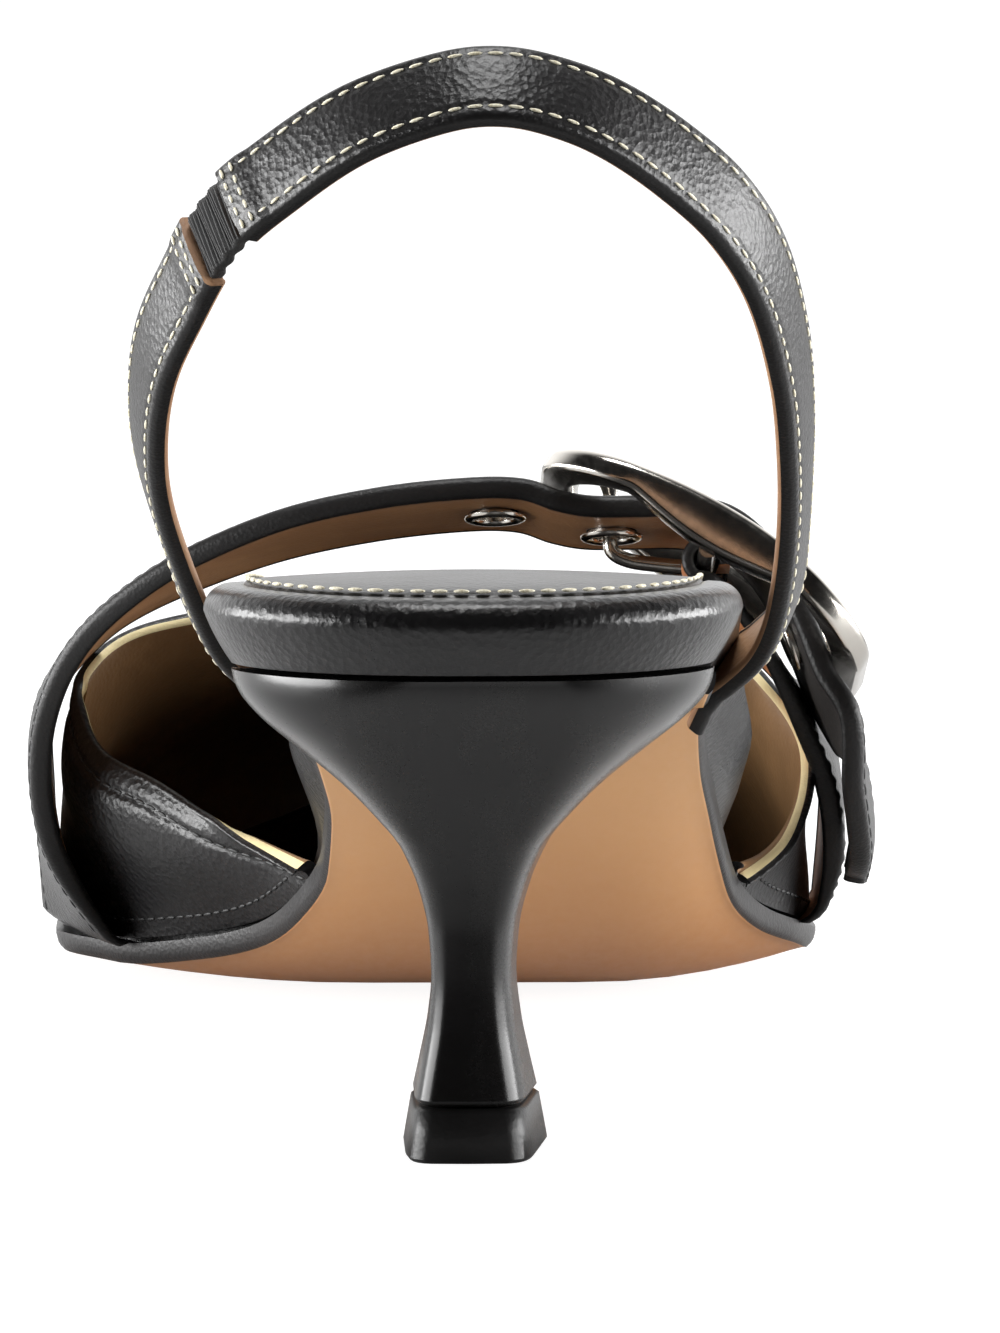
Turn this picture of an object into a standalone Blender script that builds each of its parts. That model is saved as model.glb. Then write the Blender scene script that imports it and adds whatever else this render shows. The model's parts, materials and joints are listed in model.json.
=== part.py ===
"""Slingback pump for the right foot, on a flared spool heel.

Metres, +Z up, +Y towards the toe and +X towards the shoe's lateral (outer) side.
The origin is the centre of the heel tip's bottom face, on the floor.
"""

import bisect
import math
from typing import NamedTuple

import bmesh
import bpy
from mathutils import Matrix, Vector

# Last and sole
LAST_LENGTH = 0.2325
SEAT_REACH = 0.0175
BALL_WIDTH = 0.0810
SEAT_BASE = 0.0487
TOE_SPRING = 0.0082
TREAD_CROWN = 0.0038
SEAT_ROUND = 0.0240
TOE_ROUND = 0.0085
SOLE_THICKNESS = 0.0022
SOLE_LIP = 0.0007
SOLE_REAR = 0.0255

# Footbed
RAND_HEIGHT = 0.0082
RAND_FLARE = 0.0040
RAND_CORNER = 0.0026
FOOTBED_CROWN = 0.0008
FOOTBED_INSET = 0.0008

# Upper
UPPER_WALL = 0.0016
THROAT_RISE = 0.0395
MEDIAL_SWELL = 0.0065
SWELL_ROW = 4.0
SWELL_SPAN = 3.0

# Heel
HEEL_TURN = math.radians(3.5)
TIP_HEIGHT = 0.0053
HEEL_WIDTH = 0.0470
HEEL_DEPTH = 0.0170

# Straps
BELT_RISE = 0.0560
BELT_WIDTH = 0.0200
BELT_THICKNESS = 0.0022
BELT_TIP_ROUND = 0.085
ANCHOR_WIDTH = 0.0170
ANCHOR_THICKNESS = 0.0022
LOOP_THICKNESS = 0.0012
SLING_WIDTH = 0.0090
SLING_THICKNESS = 0.0020
SLING_SPREAD = 0.3704 * BALL_WIDTH
SLING_RISE = 0.0605
SLING_FOOT_ALONG = 0.2151
SLING_FOOT_DROP = 0.0003
SLING_LEAN = 0.97
GORE_START = 0.322
GORE_END = 0.355
GORE_WIDTH = 0.0076
GORE_THICKNESS = 0.0014

# Buckle, prong and eyelets
BUCKLE_HALF_LENGTH = 0.0178
BUCKLE_HALF_WIDTH = 0.0144
BUCKLE_CORNER = 0.0075
BUCKLE_RIM = 0.0038
BUCKLE_DEPTH = 0.0028
BUCKLE_BELLY = 0.0022
BUCKLE_ARCH = 0.0053
BAR_RADIUS = 0.0010
BAR_HEIGHT = 0.0006
BUCKLE_SEAT = (0.3160, 0.4344, 0.8893)
BUCKLE_BEND_MEDIAL = 8.5
BUCKLE_BEND_LATERAL = 13.8
BUCKLE_CREST = 0.0020
BUCKLE_EDGE = 0.0011
BUCKLE_EDGE_UNDER = 0.0007
BUCKLE_SLOPE = math.radians(34.1)
BUCKLE_PITCH = math.radians(16.9)
PRONG_RADIUS = 0.0008
PRONG_RING = 0.0023
PRONG_RING_WIDTH = 0.0034
EYELET_BORE = 0.0040
EYELET_TUBE = 0.0005
EYELET_FLANGE = 0.0066
EYELET_LIP = 0.0005
EYELET_PITCH = 0.0124
EYELET_ACROSS = 0.46
EYELET_STEPS = (-1, 0, 2)
PRONG_CROSSING = -0.593

# Fits
GAP = 0.0003
FLANGE_GAP = 0.0005


class SoleRow(NamedTuple):
    """One station of the last's bottom, from the seat's rear to the toe.

    along is a share of LAST_LENGTH, medial and lateral are half widths as shares of BALL_WIDTH,
    lift is a share of the seat's height, spring of TOE_SPRING, the two crowns of TREAD_CROWN,
    rand of RAND_HEIGHT, flare of RAND_FLARE, and tuck of the inset inside the upper.
    """

    along: float
    medial: float
    lateral: float
    lift: float
    spring: float
    crown_medial: float
    crown_lateral: float
    rand: float
    flare: float
    tuck: float


SOLE_ROWS = (
    SoleRow(0.00, 0.286, 0.286, 1.000, 0.00, 0.00, 0.00, 1.00, 0.68, 0.0),
    SoleRow(0.05, 0.289, 0.288, 0.989, 0.00, 0.00, 0.00, 1.00, 0.68, 0.0),
    SoleRow(0.10, 0.290, 0.294, 0.972, 0.00, 0.00, 0.00, 1.00, 0.68, 0.0),
    SoleRow(0.15, 0.275, 0.299, 0.942, 0.00, 0.00, 0.00, 1.00, 0.72, 0.0),
    SoleRow(0.20, 0.240, 0.295, 0.886, 0.00, 0.00, 0.00, 0.98, 0.85, 0.0),
    SoleRow(0.25, 0.205, 0.290, 0.796, 0.00, 0.02, 0.05, 0.96, 1.00, 0.0),
    SoleRow(0.30, 0.178, 0.296, 0.662, 0.00, 0.10, 0.20, 0.94, 1.10, 0.0),
    SoleRow(0.35, 0.163, 0.312, 0.512, 0.00, 0.20, 0.40, 0.90, 1.10, 0.0),
    SoleRow(0.40, 0.167, 0.330, 0.359, 0.00, 0.30, 0.60, 0.84, 0.75, 0.3),
    SoleRow(0.45, 0.200, 0.352, 0.217, 0.00, 0.40, 0.78, 0.70, 0.30, 1.0),
    SoleRow(0.50, 0.249, 0.393, 0.110, 0.00, 0.50, 0.92, 0.54, 0.00, 1.0),
    SoleRow(0.55, 0.336, 0.444, 0.039, 0.00, 0.55, 1.00, 0.42, 0.00, 1.0),
    SoleRow(0.60, 0.444, 0.468, 0.000, 0.00, 0.55, 0.95, 0.38, 0.00, 1.0),
    SoleRow(0.65, 0.512, 0.455, 0.000, 0.00, 0.50, 0.80, 0.36, 0.00, 1.0),
    SoleRow(0.70, 0.510, 0.412, 0.000, 0.02, 0.42, 0.65, 0.35, 0.00, 1.0),
    SoleRow(0.75, 0.476, 0.357, 0.000, 0.10, 0.35, 0.50, 0.34, 0.00, 1.1),
    SoleRow(0.80, 0.410, 0.286, 0.000, 0.21, 0.28, 0.35, 0.34, 0.00, 1.2),
    SoleRow(0.85, 0.331, 0.212, 0.000, 0.35, 0.20, 0.25, 0.34, 0.00, 1.3),
    SoleRow(0.90, 0.249, 0.136, 0.000, 0.54, 0.12, 0.15, 0.34, 0.00, 1.5),
    SoleRow(0.95, 0.173, 0.057, 0.000, 0.76, 0.05, 0.07, 0.34, 0.00, 1.7),
    SoleRow(1.00, 0.117, -0.031, 0.000, 1.00, 0.00, 0.00, 0.34, 0.00, 1.9),
)


class UpperRow(NamedTuple):
    """One rib of the upper, from its topline down to the feather edge.

    side is a share of BALL_WIDTH and along of LAST_LENGTH, at the topline; rise is a share of
    THROAT_RISE above the sole's centre. landing runs along the feather edge: 0 at the medial
    rear corner, 1 at the toe tip, 2 at the lateral rear corner. pitch is how steeply the wall
    leaves the topline and lean how far it leans outwards at the feather edge, in degrees.
    """

    side: float
    along: float
    rise: float
    landing: float
    pitch: float
    lean: float


UPPER_ROWS = (
    UpperRow(-0.200, 0.4370, 0.085, 0.000, 45.0, 30.0),
    UpperRow(-0.265, 0.4710, 0.223, 0.065, 55.0, 30.0),
    UpperRow(-0.325, 0.4970, 0.329, 0.115, 60.0, 30.0),
    UpperRow(-0.386, 0.5230, 0.441, 0.170, 65.0, 28.0),
    UpperRow(-0.457, 0.5530, 0.544, 0.235, 75.0, 18.0),
    UpperRow(-0.484, 0.5710, 0.666, 0.295, 86.0, 9.0),
    UpperRow(-0.484, 0.5800, 0.765, 0.355, 88.0, 4.0),
    UpperRow(-0.434, 0.5960, 0.868, 0.475, 66.0, 3.0),
    UpperRow(-0.346, 0.6030, 0.927, 0.595, 48.0, 2.0),
    UpperRow(-0.160, 0.6090, 0.987, 0.800, 32.0, 0.0),
    UpperRow(-0.090, 0.6095, 0.996, 0.930, 28.0, 2.0),
    UpperRow(-0.035, 0.6095, 1.000, 1.000, 27.0, 4.0),
    UpperRow(0.020, 0.6095, 0.998, 1.070, 28.0, 2.0),
    UpperRow(0.090, 0.6080, 0.990, 1.200, 32.0, 0.0),
    UpperRow(0.222, 0.6020, 0.957, 1.390, 46.0, 2.0),
    UpperRow(0.360, 0.5830, 0.833, 1.585, 66.0, 2.0),
    UpperRow(0.417, 0.5610, 0.709, 1.715, 80.0, 2.0),
    UpperRow(0.450, 0.5400, 0.582, 1.785, 86.0, 3.0),
    UpperRow(0.455, 0.5180, 0.468, 1.850, 86.0, 6.0),
    UpperRow(0.443, 0.4920, 0.334, 1.913, 78.0, 14.0),
    UpperRow(0.415, 0.4690, 0.195, 1.966, 60.0, 24.0),
    UpperRow(0.366, 0.4540, 0.090, 2.000, 45.0, 30.0),
)
RIB_STEPS = 3
WALL_STEPS = 8


class HeelRow(NamedTuple):
    """One level of the heel: height is a share of the seat's height above the floor.

    half is a share of HEEL_WIDTH, rear and front are shares of HEEL_DEPTH from the tip's centre,
    taper is the rear edge's width over the front's, square the corners' exponent, and seat how
    far the outline is drawn out to the seat's own.
    """

    height: float
    half: float
    rear: float
    front: float
    taper: float
    square: float
    seat: float


HEEL_ROWS = (
    HeelRow(0.000, 0.154, -0.500, 0.500, 0.84, 5.0, 0.00),
    HeelRow(0.110, 0.134, -0.470, 0.460, 0.84, 5.0, 0.00),
    HeelRow(0.190, 0.116, -0.440, 0.420, 0.86, 4.6, 0.00),
    HeelRow(0.280, 0.098, -0.415, 0.380, 0.88, 4.2, 0.00),
    HeelRow(0.370, 0.089, -0.405, 0.360, 0.90, 4.0, 0.00),
    HeelRow(0.460, 0.095, -0.410, 0.380, 0.90, 3.8, 0.00),
    HeelRow(0.550, 0.117, -0.440, 0.440, 0.90, 3.6, 0.00),
    HeelRow(0.630, 0.152, -0.490, 0.530, 0.92, 3.4, 0.00),
    HeelRow(0.700, 0.195, -0.560, 0.650, 0.94, 3.2, 0.05),
    HeelRow(0.770, 0.252, -0.650, 0.790, 0.96, 3.0, 0.12),
    HeelRow(0.840, 0.325, -0.760, 0.950, 0.98, 2.8, 0.25),
    HeelRow(0.900, 0.394, -0.860, 1.100, 1.00, 2.7, 0.45),
    HeelRow(0.955, 0.450, -0.950, 1.250, 1.00, 2.6, 0.75),
    HeelRow(1.000, 0.490, -1.010, 1.400, 1.00, 2.6, 1.00),
)


class StrapRow(NamedTuple):
    """One station of a strap: its rear edge on the lining side, and the way to its front edge.

    side is a share of BALL_WIDTH, along of LAST_LENGTH from the seat's rear, and rise of
    BELT_RISE; across_* is the direction of the width.
    """

    side: float
    along: float
    rise: float
    across_x: float
    across_y: float
    across_z: float


BELT_ROWS = (
    StrapRow(-0.4481, 0.5781, 0.1107, -0.32, 0.94, 0.02),
    StrapRow(-0.4840, 0.5626, 0.2054, -0.15, 0.97, 0.1),
    StrapRow(-0.5123, 0.5462, 0.3036, -0.04, 0.98, 0.16),
    StrapRow(-0.5235, 0.5325, 0.4196, 0.0, 0.98, 0.17),
    StrapRow(-0.5160, 0.5200, 0.5357, 0.03, 0.98, 0.06),
    StrapRow(-0.4864, 0.5071, 0.6482, 0.06, 0.98, -0.06),
    StrapRow(-0.4321, 0.4908, 0.7464, 0.04, 0.98, -0.15),
    StrapRow(-0.3457, 0.4761, 0.8411, 0.01, 0.97, -0.24),
    StrapRow(-0.2222, 0.4649, 0.9232, 0.0, 0.955, -0.28),
    StrapRow(-0.0988, 0.4598, 0.9661, 0.0, 0.955, -0.29),
    StrapRow(0.0123, 0.4589, 0.9839, 0.0, 0.957, -0.29),
)


class BuckleRow(NamedTuple):
    """One station inside the buckle, in shares of BUCKLE_HALF_LENGTH and of BUCKLE_ARCH."""

    along: float
    out: float


BUCKLE_RUN = (
    BuckleRow(-1.107, -0.887),
    BuckleRow(-0.899, -0.698),
    BuckleRow(-0.708, -0.434),
    BuckleRow(-0.472, 0.075),
    BuckleRow(-0.247, 0.566),
    BuckleRow(-0.022, 0.849),
    BuckleRow(0.225, 0.736),
    BuckleRow(0.461, 0.340),
    BuckleRow(0.685, -0.170),
    BuckleRow(0.910, -0.717),
    BuckleRow(1.169, -1.189),
)

TIP_ROWS = (
    StrapRow(0.4925, 0.4390, 0.4554, 0.05, 0.99, 0.0),
    StrapRow(0.4990, 0.4470, 0.3750, 0.06, 0.99, 0.06),
    StrapRow(0.5030, 0.4550, 0.3036, 0.06, 0.99, 0.1),
    StrapRow(0.4970, 0.4625, 0.2321, 0.05, 0.99, 0.13),
)

ANCHOR_ROWS = (
    StrapRow(0.3556, 0.4615, 0.7679, 0.02, 0.95, -0.27),
    StrapRow(0.3877, 0.4710, 0.6946, 0.03, 0.96, -0.2),
    StrapRow(0.4136, 0.4839, 0.6143, 0.04, 0.97, -0.09),
    StrapRow(0.4383, 0.4981, 0.5268, 0.05, 0.97, 0.05),
    StrapRow(0.4617, 0.5131, 0.4393, 0.04, 0.97, 0.14),
    StrapRow(0.4765, 0.5260, 0.3446, 0.02, 0.98, 0.16),
    StrapRow(0.4802, 0.5363, 0.2500, 0.0, 0.98, 0.14),
    StrapRow(0.4741, 0.5449, 0.1750, 0.0, 1.0, -0.04),
)


class SlingRow(NamedTuple):
    """One station of the sling strap's rear edge: side and rise are shares of its named sizes.

    outwards is how far the width leans away from the loop's middle towards the front edge.
    """

    side: float
    rise: float
    outwards: float


SLING_ROWS = (
    SlingRow(-0.665, 0.000, 0.44),
    SlingRow(-0.775, 0.060, 0.40),
    SlingRow(-0.870, 0.170, 0.30),
    SlingRow(-0.965, 0.325, 0.26),
    SlingRow(-0.985, 0.440, 0.26),
    SlingRow(-0.955, 0.550, 0.28),
    SlingRow(-0.873, 0.650, 0.30),
    SlingRow(-0.740, 0.775, 0.32),
    SlingRow(-0.560, 0.860, 0.30),
    SlingRow(-0.340, 0.940, 0.20),
    SlingRow(-0.090, 0.990, 0.08),
    SlingRow(0.080, 1.000, 0.00),
    SlingRow(0.240, 0.982, 0.08),
    SlingRow(0.400, 0.945, 0.18),
    SlingRow(0.580, 0.880, 0.26),
    SlingRow(0.750, 0.798, 0.30),
    SlingRow(0.880, 0.690, 0.30),
    SlingRow(0.965, 0.545, 0.28),
    SlingRow(1.000, 0.410, 0.26),
    SlingRow(1.010, 0.290, 0.24),
    SlingRow(0.998, 0.180, 0.28),
    SlingRow(0.970, 0.100, 0.36),
    SlingRow(0.920, 0.045, 0.43),
    SlingRow(0.835, 0.000, 0.46),
)

PRONG_PATH = (
    BuckleRow(-0.107, 0.000),
    BuckleRow(-0.258, -0.264),
    BuckleRow(-0.410, -0.491),
    BuckleRow(-0.522, -0.509),
    BuckleRow(-0.590, -0.226),
    BuckleRow(-0.652, 0.113),
    BuckleRow(-0.725, 0.472),
    BuckleRow(-0.843, 0.679),
    BuckleRow(-0.966, 0.660),
    BuckleRow(-1.090, 0.509),
)


def eased(places: list[float], values: list[float], at: float) -> float:
    """Value at a place along a table, through a cubic that never overshoots its rows."""
    last = len(places) - 1
    at = min(max(at, places[0]), places[last])
    row = min(max(bisect.bisect_right(places, at) - 1, 0), last - 1)
    steps = [places[k + 1] - places[k] for k in range(last)]
    slopes = [(values[k + 1] - values[k]) / steps[k] for k in range(last)]

    def tangent(k: int) -> float:
        if k == 0:
            return slopes[0]
        if k == last:
            return slopes[last - 1]
        before, after = slopes[k - 1], slopes[k]
        if before * after <= 0.0:
            return 0.0
        return 2.0 * before * after / (before + after)

    span = steps[row]
    t = (at - places[row]) / span
    start = values[row] * (2 * t**3 - 3 * t**2 + 1) + values[row + 1] * (3 * t**2 - 2 * t**3)
    lean = tangent(row) * (t**3 - 2 * t**2 + t) + tangent(row + 1) * (t**3 - t**2)
    return start + span * lean


def rounded(share: float, square: float = 2.0) -> float:
    """Width of a rounded end at a share of its length from the tip, as a share of the full width."""
    if share >= 1.0:
        return 1.0
    return max(1.0 - (1.0 - max(share, 0.0)) ** square, 0.0) ** (1.0 / square)


def catmull(points: list[Vector], at: float) -> Vector:
    """Point on a smooth curve through the points, where at counts them from 0."""
    last = len(points) - 1
    row = min(int(at), last - 1)
    t = at - row
    before = points[max(row - 1, 0)]
    here = points[row]
    after = points[row + 1]
    beyond = points[min(row + 2, last)]
    a = 2.0 * here
    b = (after - before) * t
    c = (2.0 * before - 5.0 * here + 4.0 * after - beyond) * t**2
    d = (3.0 * here - before - 3.0 * after + beyond) * t**3
    return 0.5 * (a + b + c + d)


class Last:
    """The last's bottom: outline, height and crown at any place along the shoe."""

    def __init__(self, rows: tuple[SoleRow, ...]):
        self.places = [row.along for row in rows]
        self.columns = {name: [getattr(row, name) for row in rows] for name in SoleRow._fields}
        self.rear = -SEAT_REACH
        self.toe = LAST_LENGTH - SEAT_REACH

    def read(self, name: str, y: float) -> float:
        return eased(self.places, self.columns[name], (y - self.rear) / LAST_LENGTH)

    def edges(self, y: float, inset: float = 0.0) -> tuple[float, float]:
        """X of the medial and lateral edges of the feather line, moved in by an inset."""
        medial = -self.read("medial", y) * BALL_WIDTH
        lateral = self.read("lateral", y) * BALL_WIDTH
        centre = 0.5 * (medial + lateral)
        half = 0.5 * (lateral - medial)
        seat = rounded((y - self.rear - inset) / SEAT_ROUND, 2.3)
        toe = rounded((self.toe - inset - y) / TOE_ROUND)
        half = max(half * seat * toe - inset, 0.00012)
        return centre - half, centre + half

    def keel(self, y: float) -> float:
        """Height of the sole's upper face along its centre line."""
        lift = self.read("lift", y) * (SEAT_BASE - SOLE_THICKNESS)
        return SOLE_THICKNESS + lift + self.read("spring", y) * TOE_SPRING

    def height(self, x: float, y: float) -> float:
        """Height of the sole's upper face, flat in the middle and crowned to its edges."""
        medial, lateral = self.edges(y)
        half = max(0.5 * (lateral - medial), 0.001)
        offset = (x - 0.5 * (medial + lateral)) / half
        name = "crown_lateral" if offset > 0.0 else "crown_medial"
        flat = 0.35
        share = max(abs(offset) - flat, 0.0) / (1.0 - flat)
        return self.keel(y) + self.read(name, y) * TREAD_CROWN * min(share, 1.0) ** 2

    def slant(self, y: float) -> float:
        """Cosine of the keel's slope, which thickens a wall measured upright."""
        step = 0.001
        slope = (self.keel(y + step) - self.keel(y - step)) / (2.0 * step)
        return 1.0 / math.sqrt(1.0 + slope * slope)


LAST = Last(SOLE_ROWS)


def stations(start: float, end: float, count: int, round_start: float, round_end: float) -> list[float]:
    """Places from start to end, close together where an end is round."""
    places = []
    turn = 7
    for k in range(turn if round_start else 0):
        angle = (k + 0.35) / turn * math.pi / 2.0
        places.append(start + round_start * (1.0 - math.cos(angle)))
    first = start + round_start
    final = end - round_end
    places += [first + (final - first) * k / (count - 1) for k in range(count)]
    for k in range(turn - 1, -1, -1) if round_end else ():
        angle = (k + 0.35) / turn * math.pi / 2.0
        places.append(end - round_end * (1.0 - math.cos(angle)))
    return places


def material(name: str, colour: tuple[float, float, float], roughness: float, metallic: float):
    made = bpy.data.materials.new(name)
    made.use_nodes = True
    shader = made.node_tree.nodes["Principled BSDF"]
    shader.inputs["Base Color"].default_value = (*colour, 1.0)
    shader.inputs["Roughness"].default_value = roughness
    shader.inputs["Metallic"].default_value = metallic
    return made


def mesh_object(name: str, bm: bmesh.types.BMesh, look) -> bpy.types.Object:
    """Close a bmesh into a named object with faces pointing out."""
    bmesh.ops.remove_doubles(bm, verts=bm.verts, dist=1e-6)
    bmesh.ops.triangulate(bm, faces=[face for face in bm.faces if len(face.verts) > 4])
    bmesh.ops.recalc_face_normals(bm, faces=bm.faces)
    data = bpy.data.meshes.new(name)
    bm.to_mesh(data)
    bm.free()
    data.shade_smooth()
    data.set_sharp_from_angle(angle=math.radians(40.0))
    data.materials.append(look)
    made = bpy.data.objects.new(name, data)
    bpy.context.scene.collection.objects.link(made)
    return made


def skin(bm: bmesh.types.BMesh, loops: list[list[Vector]], closed: bool = True, caps: bool = True):
    """Join neighbouring loops with quads and close the first and last one."""
    rings = [[bm.verts.new(point) for point in loop] for loop in loops]
    size = len(rings[0])
    for a, b in zip(rings, rings[1:]):
        for k in range(size if closed else size - 1):
            n = (k + 1) % size
            bm.faces.new((a[k], a[n], b[n], b[k]))
    if caps:
        bm.faces.new(list(reversed(rings[0])))
        bm.faces.new(rings[-1])
    return rings


def subtract(target: bpy.types.Object, cutters: list[bpy.types.Object]) -> None:
    for cutter in cutters:
        cutter.hide_render = True
        cutter.display_type = "WIRE"
        cut = target.modifiers.new("cut_" + cutter.name, "BOOLEAN")
        cut.operation = "DIFFERENCE"
        cut.solver = "EXACT"
        cut.object = cutter


def unite(target: bpy.types.Object, others: list[bpy.types.Object]) -> None:
    for other in others:
        other.hide_render = True
        other.display_type = "WIRE"
        join = target.modifiers.new("join_" + other.name, "BOOLEAN")
        join.operation = "UNION"
        join.solver = "EXACT"
        join.object = other


def outsole(look) -> bpy.types.Object:
    """Thin leather sole from the heel breast to the toe, with crowned tread and toe spring."""
    loops = []
    across = (-1.0, -0.75, -0.4, 0.0, 0.4, 0.75, 1.0)
    for y in stations(SOLE_REAR, LAST.toe + SOLE_LIP, 36, 0.0, TOE_ROUND):
        medial, lateral = LAST.edges(min(y, LAST.toe - 0.00002), -SOLE_LIP)
        centre, half = 0.5 * (medial + lateral), 0.5 * (lateral - medial)
        thick = SOLE_THICKNESS / LAST.slant(y)
        top = [Vector((centre + half * u, y, LAST.height(centre + half * u, y))) for u in across]
        under = [Vector((centre + half * u * 0.988, y, point.z - thick)) for u, point in zip(across, top)]
        loops.append(top + list(reversed(under)))
    bm = bmesh.new()
    skin(bm, loops)
    return mesh_object("outsole", bm, look)


def footbed_section(y: float) -> list[Vector]:
    """Outline across the wrapped footbed: flat underneath, flared sides and rounded top edges."""
    tuck = LAST.read("tuck", y) * (UPPER_WALL + GAP + FOOTBED_INSET)
    medial, lateral = LAST.edges(y, tuck)
    narrow = min((lateral - medial) / 0.030, 1.0)
    flare = LAST.read("flare", y) * RAND_FLARE * narrow
    tall = LAST.read("rand", y) * RAND_HEIGHT / LAST.slant(y)
    corner = min(RAND_CORNER, tall * 0.45, 0.35 * (lateral - medial))

    def foot(x: float) -> float:
        return LAST.height(x, y) + GAP

    points = []
    for x in (medial, medial + 0.33 * (lateral - medial), medial + 0.67 * (lateral - medial), lateral):
        points.append(Vector((x, y, foot(x))))
    sides = ((lateral, 1.0), (medial, -1.0))
    arcs = []
    for edge, sign in sides:
        base = foot(edge)
        top = base + tall
        arc = []
        for angle in (0.0, 30.0, 60.0, 90.0):
            turn = math.radians(angle)
            out = edge + sign * (flare - corner * (1.0 - math.cos(turn)))
            arc.append(Vector((out, y, top - corner * (1.0 - math.sin(turn)))))
        middle = edge + sign * flare * 0.55
        arcs.append([Vector((middle, y, base + (tall - corner) * 0.5))] + arc)
    right, left = arcs
    crown = FOOTBED_CROWN * min((lateral - medial) / 0.040, 1.0)
    inner = []
    for share in (0.25, 0.5, 0.75):
        start, end = right[-1], left[-1]
        point = start.lerp(end, share)
        point.z += crown * (1.0 - (2.0 * share - 1.0) ** 2)
        inner.append(point)
    return points + right + inner + list(reversed(left))


def footbed(look) -> bpy.types.Object:
    """Padded footbed wrapped in leather: a thick rand from the seat to the waist, thin inside."""
    toe_inset = 2.1 * (UPPER_WALL + GAP + FOOTBED_INSET)
    loops = []
    for y in stations(LAST.rear + 0.0001, LAST.toe - toe_inset, 34, SEAT_ROUND, TOE_ROUND):
        loops.append(footbed_section(y))
    bm = bmesh.new()
    flare = RAND_FLARE * SOLE_ROWS[0].flare
    for loop in loops:
        for point in loop:
            spread = max(point.z - LAST.height(point.x, point.y) - GAP, 0.0) / RAND_HEIGHT
            reach = max(1.0 - (point.y - LAST.rear) / SEAT_ROUND, 0.0)
            point.y -= flare * min(spread, 1.0) * reach
    skin(bm, loops)
    return mesh_object("footbed", bm, look)


class Upper:
    """Surface of the vamp: ribs from the topline to the feather edge."""

    def __init__(self, rows: tuple[UpperRow, ...]):
        self.rows = rows
        self.places = [float(k) for k in range(len(rows))]
        self.topline = [self.topline_point(row) for row in rows]
        self.routes = {side: self.route(side) for side in (-1, 1)}

    def topline_point(self, row: UpperRow) -> Vector:
        y = LAST.rear + row.along * LAST_LENGTH
        return Vector((row.side * BALL_WIDTH, y, LAST.keel(y) + row.rise * THROAT_RISE))

    def route(self, side: int) -> tuple[list[float], list[Vector]]:
        """Arc lengths and points of the feather edge on one side, from rear corner to toe tip."""
        corner = self.rows[0] if side < 0 else self.rows[-1]
        start = LAST.rear + corner.along * LAST_LENGTH
        span = LAST.toe - start
        points = []
        for k in range(241):
            y = start + span * math.sin(k / 240.0 * math.pi / 2.0)
            x = LAST.edges(y)[0 if side < 0 else 1]
            points.append(Vector((x, y, LAST.height(x, y) + 2.0 * GAP)))
        tip_x = sum(LAST.edges(LAST.toe - 0.00001)) * 0.5
        points[-1].x = tip_x
        lengths = [0.0]
        for a, b in zip(points, points[1:]):
            lengths.append(lengths[-1] + (b - a).length)
        return [length / lengths[-1] for length in lengths], points

    def feather(self, landing: float) -> tuple[Vector, Vector]:
        """Point and outward direction at a landing along the feather edge."""
        side = -1 if landing <= 1.0 else 1
        share = landing if side < 0 else 2.0 - landing
        lengths, points = self.routes[side]

        def at(place: float) -> Vector:
            k = min(max(bisect.bisect_right(lengths, place) - 1, 0), len(points) - 2)
            t = (place - lengths[k]) / (lengths[k + 1] - lengths[k])
            return points[k].lerp(points[k + 1], t)

        point = at(share)
        if abs(landing - 1.0) < 0.004:
            return point, Vector((0.0, 1.0, 0.0))
        ahead = at(min(share + 0.004, 1.0)) - at(max(share - 0.004, 0.0))
        out = Vector((ahead.y, -ahead.x, 0.0)).normalized() * side
        return point, out

    def rib(self, at: float) -> list[Vector]:
        """Points down one rib of the outer face, topline first."""
        top = catmull(self.topline, at)
        landing = eased(self.places, [row.landing for row in self.rows], at)
        pitch = math.radians(eased(self.places, [row.pitch for row in self.rows], at))
        lean = math.radians(eased(self.places, [row.lean for row in self.rows], at))
        foot, out = self.feather(landing)
        span = (top - foot).length
        level = Vector((foot.x - top.x, foot.y - top.y, 0.0))
        level = level.normalized() if level.length > 1e-5 else out
        leave = level * math.cos(pitch) - Vector((0.0, 0.0, math.sin(pitch)))
        rise = out * math.sin(lean) + Vector((0.0, 0.0, math.cos(lean)))
        reach = min(span * 0.36, 0.020)
        swell = MEDIAL_SWELL * max(1.0 - ((at - SWELL_ROW) / SWELL_SPAN) ** 2, 0.0)
        second = top + leave * span * 0.40 + out * swell
        third = foot + rise * reach
        points = []
        for k in range(WALL_STEPS + 1):
            t = k / WALL_STEPS
            a, b, c, d = (1 - t) ** 3, 3 * t * (1 - t) ** 2, 3 * t**2 * (1 - t), t**3
            points.append(top * a + second * b + third * c + foot * d)
        return points

    def grid(self) -> list[list[Vector]]:
        count = (len(self.rows) - 1) * RIB_STEPS
        return [self.rib(k / RIB_STEPS) for k in range(count + 1)]


UPPER = Upper(UPPER_ROWS)


def grid_normal(grid: list[list[Vector]], i: int, j: int) -> Vector:
    across = grid[min(i + 1, len(grid) - 1)][j] - grid[max(i - 1, 0)][j]
    down = grid[i][min(j + 1, len(grid[0]) - 1)] - grid[i][max(j - 1, 0)]
    return across.cross(down).normalized()


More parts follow.
